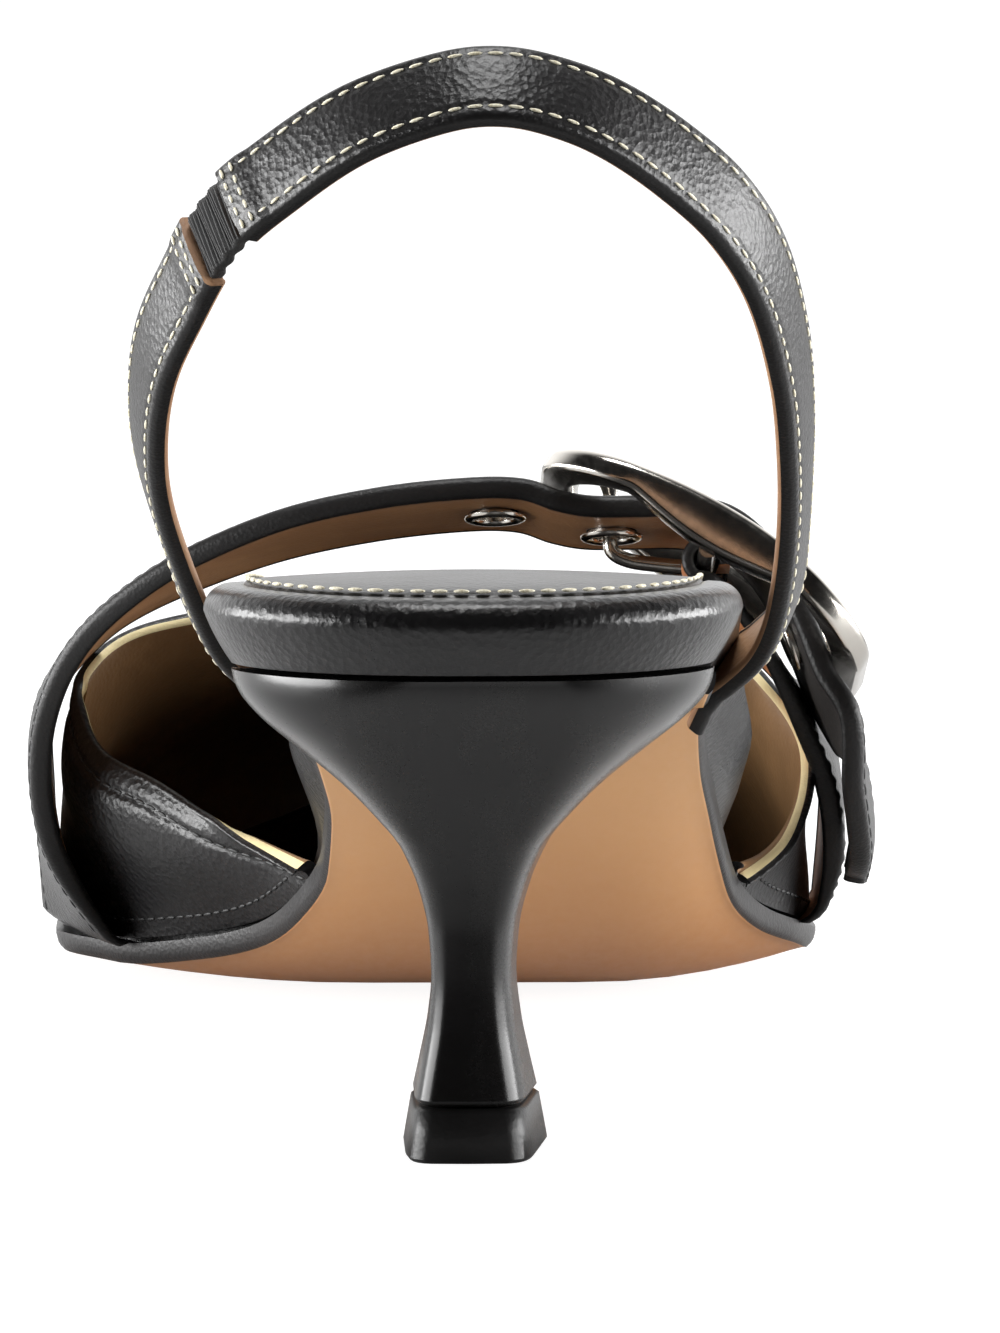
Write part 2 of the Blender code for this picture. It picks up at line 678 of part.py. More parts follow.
def upper(look) -> bpy.types.Object:
    """Hollow vamp with a real wall, open at the throat, the heel and underneath."""
    outer = UPPER.grid()
    inner = []
    last = len(outer[0]) - 1
    for i, rib in enumerate(outer):
        wall = []
        for j, point in enumerate(rib):
            normal = grid_normal(outer, i, j)
            if j == last:
                normal.z = 0.0
                normal.normalize()
            wall.append(point - normal * UPPER_WALL)
        wall[last].z = rib[last].z
        inner.append(wall)
    loops = [out + list(reversed(within)) for out, within in zip(outer, inner)]
    bm = bmesh.new()
    skin(bm, loops)
    return mesh_object("upper", bm, look)


def heel_loop(height: float, drop: float) -> list[Vector]:
    """Outline of the heel at a share of the seat's height, lowered by a gap at the seat."""
    places = [row.height for row in HEEL_ROWS]

    def read(name: str) -> float:
        return eased(places, [getattr(row, name) for row in HEEL_ROWS], height)

    rear = read("rear") * HEEL_DEPTH
    front = read("front") * HEEL_DEPTH
    half = read("half") * HEEL_WIDTH
    seat = read("seat")
    sides = {-1: [], 1: []}
    steps = 11
    for k in range(steps + 1):
        v = 1.0 - math.cos(k / steps * math.pi / 2.0)
        v = 0.5 * v + 0.5 * k / steps
        y = rear + (front - rear) * v
        taper = read("taper")
        width = half * (taper + (1.0 - taper) * v) * rounded(v / 0.55, read("square"))
        medial, lateral = LAST.edges(y)
        for side in (-1, 1):
            x = side * width + math.tan(HEEL_TURN) * y
            x = x * (1.0 - seat) + (medial if side < 0 else lateral) * seat
            sides[side].append(Vector((x, y, 0.0)))
    ring = list(reversed(sides[-1])) + sides[1][1:]
    left, right = ring[0], ring[-1]
    ring += [right.lerp(left, share) for share in (0.25, 0.5, 0.75)]
    for point in ring:
        point.z = height * (LAST.keel(point.y) + GAP - drop)
    return ring


def heel(look) -> bpy.types.Object:
    """Flared spool heel under the seat, down to its tip."""
    floor = (TIP_HEIGHT + GAP) / SEAT_BASE
    heights = [floor + (1.0 - floor) * k / 20 for k in range(21)]
    bm = bmesh.new()
    skin(bm, [heel_loop(height, GAP + GAP * height) for height in heights])
    return mesh_object("heel", bm, look)


def heel_tip(look) -> bpy.types.Object:
    """Top piece that the heel stands on, flat on the floor."""
    loops = [heel_loop(TIP_HEIGHT / SEAT_BASE * share, GAP) for share in (0.0, 0.5, 1.0)]
    for share, loop in zip((0.0, 0.5, 1.0), loops):
        for point in loop:
            point.z = TIP_HEIGHT * share
    bm = bmesh.new()
    skin(bm, loops)
    return mesh_object("heel_tip", bm, look)


class Band:
    """A flat strap along a smooth route, measured from its rear edge on the lining side."""

    def __init__(self, edge: list[Vector], across: list[Vector], width: float, thickness: float):
        self.edge = edge
        self.across = across
        self.width = width
        self.thickness = thickness
        self.marks = [0.0]
        steps = 400
        here = self.middle_at(0.0)
        for k in range(1, steps + 1):
            there = self.middle_at(k / steps * (len(edge) - 1))
            self.marks.append(self.marks[-1] + (there - here).length)
            here = there
        self.length = self.marks[-1]

    def middle_at(self, at: float) -> Vector:
        return catmull(self.edge, at) + catmull(self.across, at).normalized() * self.width * 0.5

    def place(self, share: float) -> float:
        """Row count at a share of the strap's length."""
        goal = share * self.length
        k = min(max(bisect.bisect_right(self.marks, goal) - 1, 0), len(self.marks) - 2)
        t = (goal - self.marks[k]) / (self.marks[k + 1] - self.marks[k])
        return (k + t) / (len(self.marks) - 1) * (len(self.edge) - 1)

    def frame(self, share: float) -> tuple[Vector, Vector, Vector]:
        """Rear edge, direction of the width and outward normal at a share of the length."""
        at = self.place(share)
        step = 0.02
        final = len(self.edge) - 1
        ahead = self.middle_at(min(at + step, final)) - self.middle_at(max(at - step, 0.0))
        across = catmull(self.across, at).normalized()
        normal = ahead.cross(across).normalized()
        return catmull(self.edge, at), across, normal

    def point(self, share: float, across: float, out: float) -> Vector:
        edge, way, normal = self.frame(share)
        return edge + way * self.width * across + normal * out

    def loop(self, share: float, narrow: float = 1.0, thickness: float = 0.0) -> list[Vector]:
        """Section with broken corners at a share of the length."""
        edge, way, normal = self.frame(share)
        thick = thickness or self.thickness
        corner = min(0.22 * thick, 0.0006)
        start = self.width * 0.5 * (1.0 - narrow)
        end = self.width - start
        spots = [
            (start, corner),
            (start + corner, 0.0),
            (0.5 * (start + end), 0.0),
            (end - corner, 0.0),
            (end, corner),
            (end, thick - corner),
            (end - corner, thick),
            (0.5 * (start + end), thick),
            (start + corner, thick),
            (start, thick - corner),
        ]
        return [edge + way * w + normal * n for w, n in spots]


def strap_spot(side: float, along: float, rise: float) -> Vector:
    """A place on the forefoot from shares of the ball's width, the last and the belt's rise."""
    return Vector((side * BALL_WIDTH, LAST.rear + along * LAST_LENGTH, rise * BELT_RISE))


def strap_points(rows: tuple[StrapRow, ...]) -> tuple[list[Vector], list[Vector]]:
    """Rear edge points and width directions of a table of stations."""
    edge = [strap_spot(row.side, row.along, row.rise) for row in rows]
    across = [Vector((row.across_x, row.across_y, row.across_z)) for row in rows]
    return edge, across


def buckle_axes() -> tuple[Vector, Vector, Vector]:
    """Directions along the belt, across it to the front, and out of the buckle."""
    forward = Vector((0.0, math.cos(BUCKLE_PITCH), -math.sin(BUCKLE_PITCH)))
    along = Vector((math.cos(BUCKLE_SLOPE), 0.0, -math.sin(BUCKLE_SLOPE)))
    along = (along - forward * along.dot(forward)).normalized()
    return along, forward, along.cross(forward).normalized()


ALONG, FORWARD, OUTWARD = buckle_axes()
BUCKLE_CENTRE = strap_spot(*BUCKLE_SEAT) + FORWARD * BUCKLE_HALF_WIDTH
PRONG_ACROSS = (EYELET_ACROSS - 0.5) * BELT_WIDTH


def buckle_point(along: float, across: float, out: float) -> Vector:
    return BUCKLE_CENTRE + ALONG * along + FORWARD * across + OUTWARD * out


def anchor_band() -> Band:
    """Route of the anchor strap: round the buckle's bar, then down to the lateral feather edge."""
    radius = BAR_RADIUS + GAP + LOOP_THICKNESS
    edge = []
    across = []
    for angle in range(20, 311, 29):
        turn = math.radians(angle)
        place = buckle_point(radius * math.cos(turn), -0.5 * ANCHOR_WIDTH, BAR_HEIGHT + radius * math.sin(turn))
        edge.append(place)
        across.append(FORWARD.copy())
    down, ways = strap_points(ANCHOR_ROWS)
    return Band(edge + down, across + ways, ANCHOR_WIDTH, ANCHOR_THICKNESS)


def belt_band() -> Band:
    """Route of the belt: up the medial side, over the instep, through the buckle to its tip."""
    edge, across = strap_points(BELT_ROWS)
    for row in BUCKLE_RUN:
        place = buckle_point(row.along * BUCKLE_HALF_LENGTH, -0.5 * BELT_WIDTH, row.out * BUCKLE_ARCH)
        edge.append(place)
        across.append(FORWARD.copy())
    down, ways = strap_points(TIP_ROWS)
    return Band(edge + down, across + ways, BELT_WIDTH, BELT_THICKNESS)


BELT = belt_band()
ANCHOR = anchor_band()


def cylinder(name: str, centre: Vector, axis: Vector, radius: float, depth: float, sides: int = 24):
    bm = bmesh.new()
    bmesh.ops.create_cone(
        bm, cap_ends=True, segments=sides, radius1=radius, radius2=radius, depth=depth
    )
    turn = axis.to_track_quat("Z", "Y").to_matrix().to_4x4()
    bmesh.ops.transform(bm, matrix=Matrix.Translation(centre) @ turn, verts=bm.verts)
    data = bpy.data.meshes.new(name)
    bm.to_mesh(data)
    bm.free()
    made = bpy.data.objects.new(name, data)
    bpy.context.scene.collection.objects.link(made)
    return made


def eyelet_shares() -> list[float]:
    """Places of the eyelets along the belt, by pitch from the one that holds the prong."""
    goal = PRONG_CROSSING * BUCKLE_HALF_LENGTH
    held = 0.0
    for k in range(801):
        if (BELT.point(k / 800, EYELET_ACROSS, 0.0) - BUCKLE_CENTRE).dot(ALONG) > goal:
            held = k / 800
            break
    pitch = EYELET_PITCH / BELT.length
    return [held + k * pitch for k in EYELET_STEPS]


def instep_belt(look) -> bpy.types.Object:
    """Wide belt from the medial sole edge over the instep, through the buckle to its free tip."""
    count = 64
    loops = []
    for k in range(count + 1):
        share = k / count
        left = 1.0 - (1.0 - share) / BELT_TIP_ROUND
        narrow = 1.0 if left <= 0.0 else max(math.sqrt(max(1.0 - left**2.4, 0.0)), 0.34)
        loops.append(BELT.loop(share, narrow))
    bm = bmesh.new()
    skin(bm, loops)
    belt = mesh_object("instep_belt", bm, look)
    cutters = []
    for k, share in enumerate(eyelet_shares()):
        _, _, normal = BELT.frame(share)
        centre = BELT.point(share, EYELET_ACROSS, 0.5 * BELT_THICKNESS)
        radius = 0.5 * EYELET_BORE + EYELET_TUBE + GAP
        cutters.append(cylinder(f"belt_hole_{k + 1}", centre, normal, radius, 4.0 * BELT_THICKNESS, 20))
    subtract(belt, cutters)
    return belt


def eyelet(number: int, share: float, look) -> bpy.types.Object:
    """Flanged metal eyelet through the belt."""
    _, _, normal = BELT.frame(share)
    centre = BELT.point(share, EYELET_ACROSS, 0.0)
    bore = 0.5 * EYELET_BORE
    tube = bore + EYELET_TUBE
    flange = 0.5 * EYELET_FLANGE
    low = -FLANGE_GAP
    high = BELT_THICKNESS + FLANGE_GAP
    outline = [
        (bore, low - EYELET_LIP),
        (0.5 * (tube + flange), low - EYELET_LIP),
        (flange, low),
        (tube, low),
        (tube, high),
        (flange, high),
        (0.5 * (tube + flange), high + EYELET_LIP),
        (bore, high + EYELET_LIP),
    ]
    turn = normal.to_track_quat("Z", "Y").to_matrix()
    sides = 16
    loops = []
    for k in range(sides):
        angle = 2.0 * math.pi * k / sides
        spoke = Vector((math.cos(angle), math.sin(angle), 0.0))
        loops.append([centre + turn @ (spoke * r + Vector((0.0, 0.0, h))) for r, h in outline])
    bm = bmesh.new()
    skin(bm, loops + [loops[0]], caps=False)
    return mesh_object(f"eyelet_{number}", bm, look)


def anchor_strap(look) -> bpy.types.Object:
    """Short strap that holds the buckle by its bar, slotted for the prong."""
    loop_rows = len(ANCHOR.edge) - len(ANCHOR_ROWS)
    count = 40
    loops = []
    for k in range(count + 1):
        share = (k / count) ** 1.25
        grown = min(max(0.22 * (ANCHOR.place(share) - loop_rows), 0.0), 1.0)
        thick = LOOP_THICKNESS + (ANCHOR_THICKNESS - LOOP_THICKNESS) * grown
        thick *= 1.0 - 0.45 * max(share - 0.86, 0.0) / 0.14
        loops.append(ANCHOR.loop(share, 1.0, thick))
    bm = bmesh.new()
    skin(bm, loops)
    strap = mesh_object("anchor_strap", bm, look)
    reach = 5.4 * PRONG_RING
    slot = bmesh.new()
    bmesh.ops.create_cube(slot, size=1.0)
    size = Matrix.Diagonal((reach, PRONG_RING_WIDTH + 4.0 * GAP, reach, 1.0))
    axes = Matrix((ALONG, FORWARD, OUTWARD)).transposed().to_4x4()
    centre = buckle_point(-0.30 * reach, PRONG_ACROSS, BAR_HEIGHT)
    bmesh.ops.transform(slot, matrix=Matrix.Translation(centre) @ axes @ size, verts=slot.verts)
    data = bpy.data.meshes.new("prong_slot")
    slot.to_mesh(data)
    slot.free()
    cutter = bpy.data.objects.new("prong_slot", data)
    bpy.context.scene.collection.objects.link(cutter)
    subtract(strap, [cutter])
    return strap


def buckle(look) -> bpy.types.Object:
    """Arched rounded frame with a bar across its middle."""
    length = BUCKLE_HALF_LENGTH
    width = BUCKLE_HALF_WIDTH
    corner = BUCKLE_CORNER
    path = []
    turns = 5
    centres = (
        (length - corner, width - corner, 0.0),
        (corner - length, width - corner, 90.0),
        (corner - length, corner - width, 180.0),
        (length - corner, corner - width, 270.0),
    )
    for u, v, start in centres:
        for k in range(turns + 1):
            angle = math.radians(start + 90.0 * k / turns)
            way = (math.cos(angle), math.sin(angle))
            path.append((u + corner * way[0], v + corner * way[1], way))
        if start in (0.0, 180.0):
            sign = -1.0 if start == 0.0 else 1.0
            for share in (-0.6, -0.3, -0.1, 0.1, 0.3, 0.6):
                path.append((sign * share * (length - corner), v + corner * way[1], way))
    loops = []
    half = 0.5 * BUCKLE_RIM
    for u, v, way in path:
        bend = BUCKLE_BEND_MEDIAL if u < BUCKLE_CREST else BUCKLE_BEND_LATERAL
        rise = BUCKLE_ARCH - bend * (u - BUCKLE_CREST) ** 2
        belly = BUCKLE_BELLY * math.cos(min(abs(u) / (0.56 * length), 1.0) * math.pi / 2.0)
        floor = rise - BUCKLE_DEPTH - belly
        spots = (
            (-half, floor + BUCKLE_EDGE_UNDER),
            (-half + BUCKLE_EDGE_UNDER, floor),
            (half - BUCKLE_EDGE_UNDER, floor),
            (half, floor + BUCKLE_EDGE_UNDER),
            (half, rise - BUCKLE_EDGE),
            (half - BUCKLE_EDGE, rise),
            (-half + BUCKLE_EDGE, rise),
            (-half, rise - BUCKLE_EDGE),
        )
        loops.append([buckle_point(u + way[0] * s, v + way[1] * s, h) for s, h in spots])
    bm = bmesh.new()
    skin(bm, loops + [loops[0]], caps=False)
    frame = mesh_object("buckle", bm, look)
    bar = cylinder("bar", buckle_point(0.0, 0.0, BAR_HEIGHT), FORWARD, BAR_RADIUS, 2.0 * width, 16)
    unite(frame, [bar])
    return frame


def buckle_prong(look) -> bpy.types.Object:
    """Prong that turns on the bar, passes up through an eyelet and rests on the frame."""
    points = [
        buckle_point(row.along * BUCKLE_HALF_LENGTH, PRONG_ACROSS, row.out * BUCKLE_ARCH)
        for row in PRONG_PATH
    ]
    loops = []
    count = 24
    sides = 8
    for k in range(count + 1):
        at = k / count * (len(points) - 1)
        here = catmull(points, at)
        ahead = catmull(points, min(at + 0.05, len(points) - 1)) - catmull(points, max(at - 0.05, 0.0))
        lift = ahead.normalized().cross(FORWARD).normalized()
        radius = PRONG_RADIUS * (1.0 if k < count else 0.6)
        ring = []
        for n in range(sides):
            angle = 2.0 * math.pi * n / sides
            ring.append(here + FORWARD * radius * math.cos(angle) + lift * radius * math.sin(angle))
        loops.append(ring)
    bm = bmesh.new()
    skin(bm, loops)
    prong = mesh_object("buckle_prong", bm, look)
    centre = buckle_point(0.0, PRONG_ACROSS, BAR_HEIGHT)
    ring = cylinder("prong_ring", centre, FORWARD, PRONG_RING, PRONG_RING_WIDTH, 20)
    bore = cylinder("prong_bore", centre, FORWARD, BAR_RADIUS + GAP, 4.0 * PRONG_RING_WIDTH, 20)
    unite(prong, [ring])
    subtract(prong, [bore])
    return prong


def sling_band(width: float, thickness: float) -> Band:
    """Route of the sling strap: an arch that leans back from the waist to behind the heel."""
    edge = []
    across = []
    up = Vector((0.0, SLING_LEAN, 1.0)).normalized()
    foot_y = LAST.rear + SLING_FOOT_ALONG * LAST_LENGTH
    foot_z = LAST.keel(foot_y) - SLING_FOOT_DROP
    for row in SLING_ROWS:
        rise = row.rise * SLING_RISE
        x = row.side * SLING_SPREAD
        point = Vector((x, foot_y - rise * SLING_LEAN, foot_z + rise))
        way = up.copy()
        way.x = row.outwards * (1.0 if row.side > 0.0 else -1.0)
        way.z += 0.10 * max(row.rise - 0.7, 0.0)
        edge.append(point)
        across.append(way.normalized())
    shift = 0.5 * (SLING_WIDTH - width)
    edge = [point + way * shift for point, way in zip(edge, across)]
    return Band(edge, across, width, thickness)


SLING = sling_band(SLING_WIDTH, SLING_THICKNESS)


def sling_piece(name: str, band: Band, start: float, end: float, count: int, look) -> bpy.types.Object:
    bm = bmesh.new()
    skin(bm, [band.loop(start + (end - start) * k / count) for k in range(count + 1)])
    return mesh_object(name, bm, look)


def build() -> None:
    for old in list(bpy.data.objects):
        bpy.data.objects.remove(old, do_unlink=True)
    black_leather = material("black_leather", (0.012, 0.011, 0.012), 0.42, 0.0)
    black_lacquer = material("black_lacquer", (0.010, 0.009, 0.010), 0.25, 0.0)
    sole_leather = material("sole_leather", (0.50, 0.27, 0.13), 0.45, 0.0)
    tip_rubber = material("tip_rubber", (0.012, 0.012, 0.012), 0.5, 0.0)
    elastic = material("elastic", (0.015, 0.014, 0.015), 0.8, 0.0)
    nickel = material("nickel", (0.55, 0.53, 0.50), 0.18, 1.0)
    outsole(sole_leather)
    footbed(black_leather)
    upper(black_leather)
    heel(black_lacquer)
    heel_tip(tip_rubber)
    instep_belt(black_leather)
    anchor_strap(black_leather)
    buckle(nickel)
    buckle_prong(nickel)
    for number, share in enumerate(eyelet_shares(), 1):
        eyelet(number, share, nickel)
    clear = GAP / SLING.length
    sling_piece("sling_short", SLING, 0.0, GORE_START - clear, 18, black_leather)
    sling_piece("sling_long", SLING, GORE_END + clear, 1.0, 36, black_leather)
    gore = sling_band(GORE_WIDTH, GORE_THICKNESS)
    gore_lift = 0.5 * (SLING_THICKNESS - GORE_THICKNESS)
    piece = sling_piece("elastic_gore", gore, GORE_START, GORE_END, 4, elastic)
    _, _, normal = gore.frame(0.5 * (GORE_START + GORE_END))
    piece.location = normal * gore_lift


build()
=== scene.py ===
"""Studio picture of a right slingback pump seen from behind.

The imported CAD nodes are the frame. Every visible piece is rebuilt finer from the same named
sizes and tables, then dressed with linings, stitches, folds and procedural materials.
"""

import bisect
import json
import logging
import math
from dataclasses import dataclass, field
from enum import Enum, IntEnum
from typing import Callable, NamedTuple, Optional, Sequence, Union

import bmesh
import bpy
from mathutils import Matrix, Vector

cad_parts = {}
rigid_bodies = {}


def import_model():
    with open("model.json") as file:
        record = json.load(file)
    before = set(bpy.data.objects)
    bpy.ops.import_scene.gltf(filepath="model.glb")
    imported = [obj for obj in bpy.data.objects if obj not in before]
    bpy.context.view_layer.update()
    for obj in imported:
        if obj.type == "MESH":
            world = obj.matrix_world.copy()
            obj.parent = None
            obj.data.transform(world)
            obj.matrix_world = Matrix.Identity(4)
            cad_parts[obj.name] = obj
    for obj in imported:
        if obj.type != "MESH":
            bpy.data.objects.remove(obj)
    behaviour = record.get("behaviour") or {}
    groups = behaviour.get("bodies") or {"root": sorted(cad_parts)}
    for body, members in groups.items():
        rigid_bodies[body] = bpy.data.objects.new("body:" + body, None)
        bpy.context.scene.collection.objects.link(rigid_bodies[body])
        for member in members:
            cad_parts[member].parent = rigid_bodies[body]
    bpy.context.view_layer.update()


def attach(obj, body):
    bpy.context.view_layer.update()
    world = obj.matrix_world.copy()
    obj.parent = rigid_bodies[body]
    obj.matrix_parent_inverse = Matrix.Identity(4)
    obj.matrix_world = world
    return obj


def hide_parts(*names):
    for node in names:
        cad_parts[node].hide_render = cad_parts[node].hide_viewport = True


LOG = logging.getLogger("slingback")


# Last and sole
LAST_LENGTH = 0.2325
SEAT_REACH = 0.0175
BALL_WIDTH = 0.0810
SEAT_BASE = 0.0487
TOE_SPRING = 0.0082
TREAD_CROWN = 0.0038
SEAT_ROUND = 0.0240
TOE_ROUND = 0.0085
SOLE_THICKNESS = 0.0022
SOLE_LIP = 0.0007
SOLE_REAR = 0.0255

# Footbed
RAND_HEIGHT = 0.0082
RAND_FLARE = 0.0040
RAND_CORNER = 0.0026
FOOTBED_CROWN = 0.0008
FOOTBED_INSET = 0.0008

# Upper
UPPER_WALL = 0.0016
THROAT_RISE = 0.0395
MEDIAL_SWELL = 0.0065
SWELL_ROW = 4.0
SWELL_SPAN = 3.0

# Heel
HEEL_TURN = math.radians(3.5)
TIP_HEIGHT = 0.0053
HEEL_WIDTH = 0.0470
HEEL_DEPTH = 0.0170
HEEL_CROWD = 0.6
HEEL_ROUND = 0.55
BREAST_CORNER = 0.0010

# Straps
BELT_RISE = 0.0560
BELT_WIDTH = 0.0200
BELT_THICKNESS = 0.0022
BELT_TIP_ROUND = 0.085
ANCHOR_WIDTH = 0.0170
ANCHOR_THICKNESS = 0.0022
LOOP_THICKNESS = 0.0012
LOOP_ANGLES = range(20, 311, 29)
SLING_WIDTH = 0.0090
SLING_THICKNESS = 0.0020
SLING_SPREAD = 0.3704 * BALL_WIDTH
SLING_RISE = 0.0605
SLING_FOOT_ALONG = 0.2151
SLING_FOOT_DROP = 0.0003
SLING_LEAN = 0.97
SLING_CREST = 0.7
SLING_CREST_LEAN = 0.10
GORE_START = 0.322
GORE_END = 0.355
GORE_WIDTH = 0.0076
GORE_THICKNESS = 0.0014

# Buckle, prong and eyelets
BUCKLE_HALF_LENGTH = 0.0178
BUCKLE_HALF_WIDTH = 0.0144
BUCKLE_CORNER = 0.0075
BUCKLE_RIM = 0.0038
BUCKLE_DEPTH = 0.0028
BUCKLE_BELLY = 0.0022
BUCKLE_ARCH = 0.0053
BAR_RADIUS = 0.0010
BAR_HEIGHT = 0.0006
BUCKLE_SEAT = (0.3160, 0.4344, 0.8893)
BUCKLE_BEND_MEDIAL = 8.5
BUCKLE_BEND_LATERAL = 13.8
BUCKLE_CREST = 0.0020
BUCKLE_EDGE = 0.0011
BUCKLE_EDGE_UNDER = 0.0007
BUCKLE_SLOPE = math.radians(34.1)
BUCKLE_PITCH = math.radians(16.9)
PRONG_RADIUS = 0.0008
PRONG_RING = 0.0023
PRONG_RING_WIDTH = 0.0034
EYELET_BORE = 0.0040
EYELET_TUBE = 0.0005
EYELET_FLANGE = 0.0066
EYELET_LIP = 0.0005
EYELET_PITCH = 0.0124
EYELET_ACROSS = 0.46
EYELET_STEPS = (-1, 0, 2)
EYELET_SEARCH = 800
PRONG_CROSSING = -0.593

# Fits
GAP = 0.0003
FLANGE_GAP = 0.0005
ROUND_OFFSET = 0.15


def rows_of(kind: Callable[..., tuple], table: tuple[tuple[float, ...], ...]) -> tuple:
    """Rows of a table, each made a named tuple of its kind."""
    return tuple(kind(*row) for row in table)


class SoleRow(NamedTuple):
    """One station of the last's bottom, from the seat's rear to the toe.

    along is a share of LAST_LENGTH, medial and lateral are half widths as shares of BALL_WIDTH,
    lift is a share of the seat's height, spring of TOE_SPRING, the two crowns of TREAD_CROWN,
    rand of RAND_HEIGHT, flare of RAND_FLARE, and tuck of the inset inside the upper.
    """

    along: float
    medial: float
    lateral: float
    lift: float
    spring: float
    crown_medial: float
    crown_lateral: float
    rand: float
    flare: float
    tuck: float


SOLE_ROWS = rows_of(SoleRow, (
    (0.00, 0.286, 0.286, 1.000, 0.00, 0.00, 0.00, 1.00, 0.68, 0.0),
    (0.05, 0.289, 0.288, 0.989, 0.00, 0.00, 0.00, 1.00, 0.68, 0.0),
    (0.10, 0.290, 0.294, 0.972, 0.00, 0.00, 0.00, 1.00, 0.68, 0.0),
    (0.15, 0.275, 0.299, 0.942, 0.00, 0.00, 0.00, 1.00, 0.72, 0.0),
    (0.20, 0.240, 0.295, 0.886, 0.00, 0.00, 0.00, 0.98, 0.85, 0.0),
    (0.25, 0.205, 0.290, 0.796, 0.00, 0.02, 0.05, 0.96, 1.00, 0.0),
    (0.30, 0.178, 0.296, 0.662, 0.00, 0.10, 0.20, 0.94, 1.10, 0.0),
    (0.35, 0.163, 0.312, 0.512, 0.00, 0.20, 0.40, 0.90, 1.10, 0.0),
    (0.40, 0.167, 0.330, 0.359, 0.00, 0.30, 0.60, 0.84, 0.75, 0.3),
    (0.45, 0.200, 0.352, 0.217, 0.00, 0.40, 0.78, 0.70, 0.30, 1.0),
    (0.50, 0.249, 0.393, 0.110, 0.00, 0.50, 0.92, 0.54, 0.00, 1.0),
    (0.55, 0.336, 0.444, 0.039, 0.00, 0.55, 1.00, 0.42, 0.00, 1.0),
    (0.60, 0.444, 0.468, 0.000, 0.00, 0.55, 0.95, 0.38, 0.00, 1.0),
    (0.65, 0.512, 0.455, 0.000, 0.00, 0.50, 0.80, 0.36, 0.00, 1.0),
    (0.70, 0.510, 0.412, 0.000, 0.02, 0.42, 0.65, 0.35, 0.00, 1.0),
    (0.75, 0.476, 0.357, 0.000, 0.10, 0.35, 0.50, 0.34, 0.00, 1.1),
    (0.80, 0.410, 0.286, 0.000, 0.21, 0.28, 0.35, 0.34, 0.00, 1.2),
    (0.85, 0.331, 0.212, 0.000, 0.35, 0.20, 0.25, 0.34, 0.00, 1.3),
    (0.90, 0.249, 0.136, 0.000, 0.54, 0.12, 0.15, 0.34, 0.00, 1.5),
    (0.95, 0.173, 0.057, 0.000, 0.76, 0.05, 0.07, 0.34, 0.00, 1.7),
    (1.00, 0.117, -0.031, 0.000, 1.00, 0.00, 0.00, 0.34, 0.00, 1.9),
))


class UpperRow(NamedTuple):
    """One rib of the upper, from its topline down to the feather edge.

    side is a share of BALL_WIDTH and along of LAST_LENGTH, at the topline; rise is a share of
    THROAT_RISE above the sole's centre. landing runs along the feather edge: 0 at the medial
    rear corner, 1 at the toe tip, 2 at the lateral rear corner. pitch is how steeply the wall
    leaves the topline and lean how far it leans outwards at the feather edge, in degrees.
    """

    side: float
    along: float
    rise: float
    landing: float
    pitch: float
    lean: float


UPPER_ROWS = rows_of(UpperRow, (
    (-0.200, 0.4370, 0.085, 0.000, 45.0, 30.0),
    (-0.265, 0.4710, 0.223, 0.065, 55.0, 30.0),
    (-0.325, 0.4970, 0.329, 0.115, 60.0, 30.0),
    (-0.386, 0.5230, 0.441, 0.170, 65.0, 28.0),
    (-0.457, 0.5530, 0.544, 0.235, 75.0, 18.0),
    (-0.484, 0.5710, 0.666, 0.295, 86.0, 9.0),
    (-0.484, 0.5800, 0.765, 0.355, 88.0, 4.0),
    (-0.434, 0.5960, 0.868, 0.475, 66.0, 3.0),
    (-0.346, 0.6030, 0.927, 0.595, 48.0, 2.0),
    (-0.160, 0.6090, 0.987, 0.800, 32.0, 0.0),
    (-0.090, 0.6095, 0.996, 0.930, 28.0, 2.0),
    (-0.035, 0.6095, 1.000, 1.000, 27.0, 4.0),
    (0.020, 0.6095, 0.998, 1.070, 28.0, 2.0),
    (0.090, 0.6080, 0.990, 1.200, 32.0, 0.0),
    (0.222, 0.6020, 0.957, 1.390, 46.0, 2.0),
    (0.360, 0.5830, 0.833, 1.585, 66.0, 2.0),
    (0.417, 0.5610, 0.709, 1.715, 80.0, 2.0),
    (0.450, 0.5400, 0.582, 1.785, 86.0, 3.0),
    (0.455, 0.5180, 0.468, 1.850, 86.0, 6.0),
    (0.443, 0.4920, 0.334, 1.913, 78.0, 14.0),
    (0.415, 0.4690, 0.195, 1.966, 60.0, 24.0),
    (0.366, 0.4540, 0.090, 2.000, 45.0, 30.0),
))


class HeelRow(NamedTuple):
    """One level of the heel: height is a share of the seat's height above the floor.

    half is a share of HEEL_WIDTH, rear and front are shares of HEEL_DEPTH from the tip's centre,
    taper is the rear edge's width over the front's, square the corners' exponent, and seat how
    far the outline is drawn out to the seat's own.
    """

    height: float
    half: float
    rear: float
    front: float
    taper: float
    square: float
    seat: float


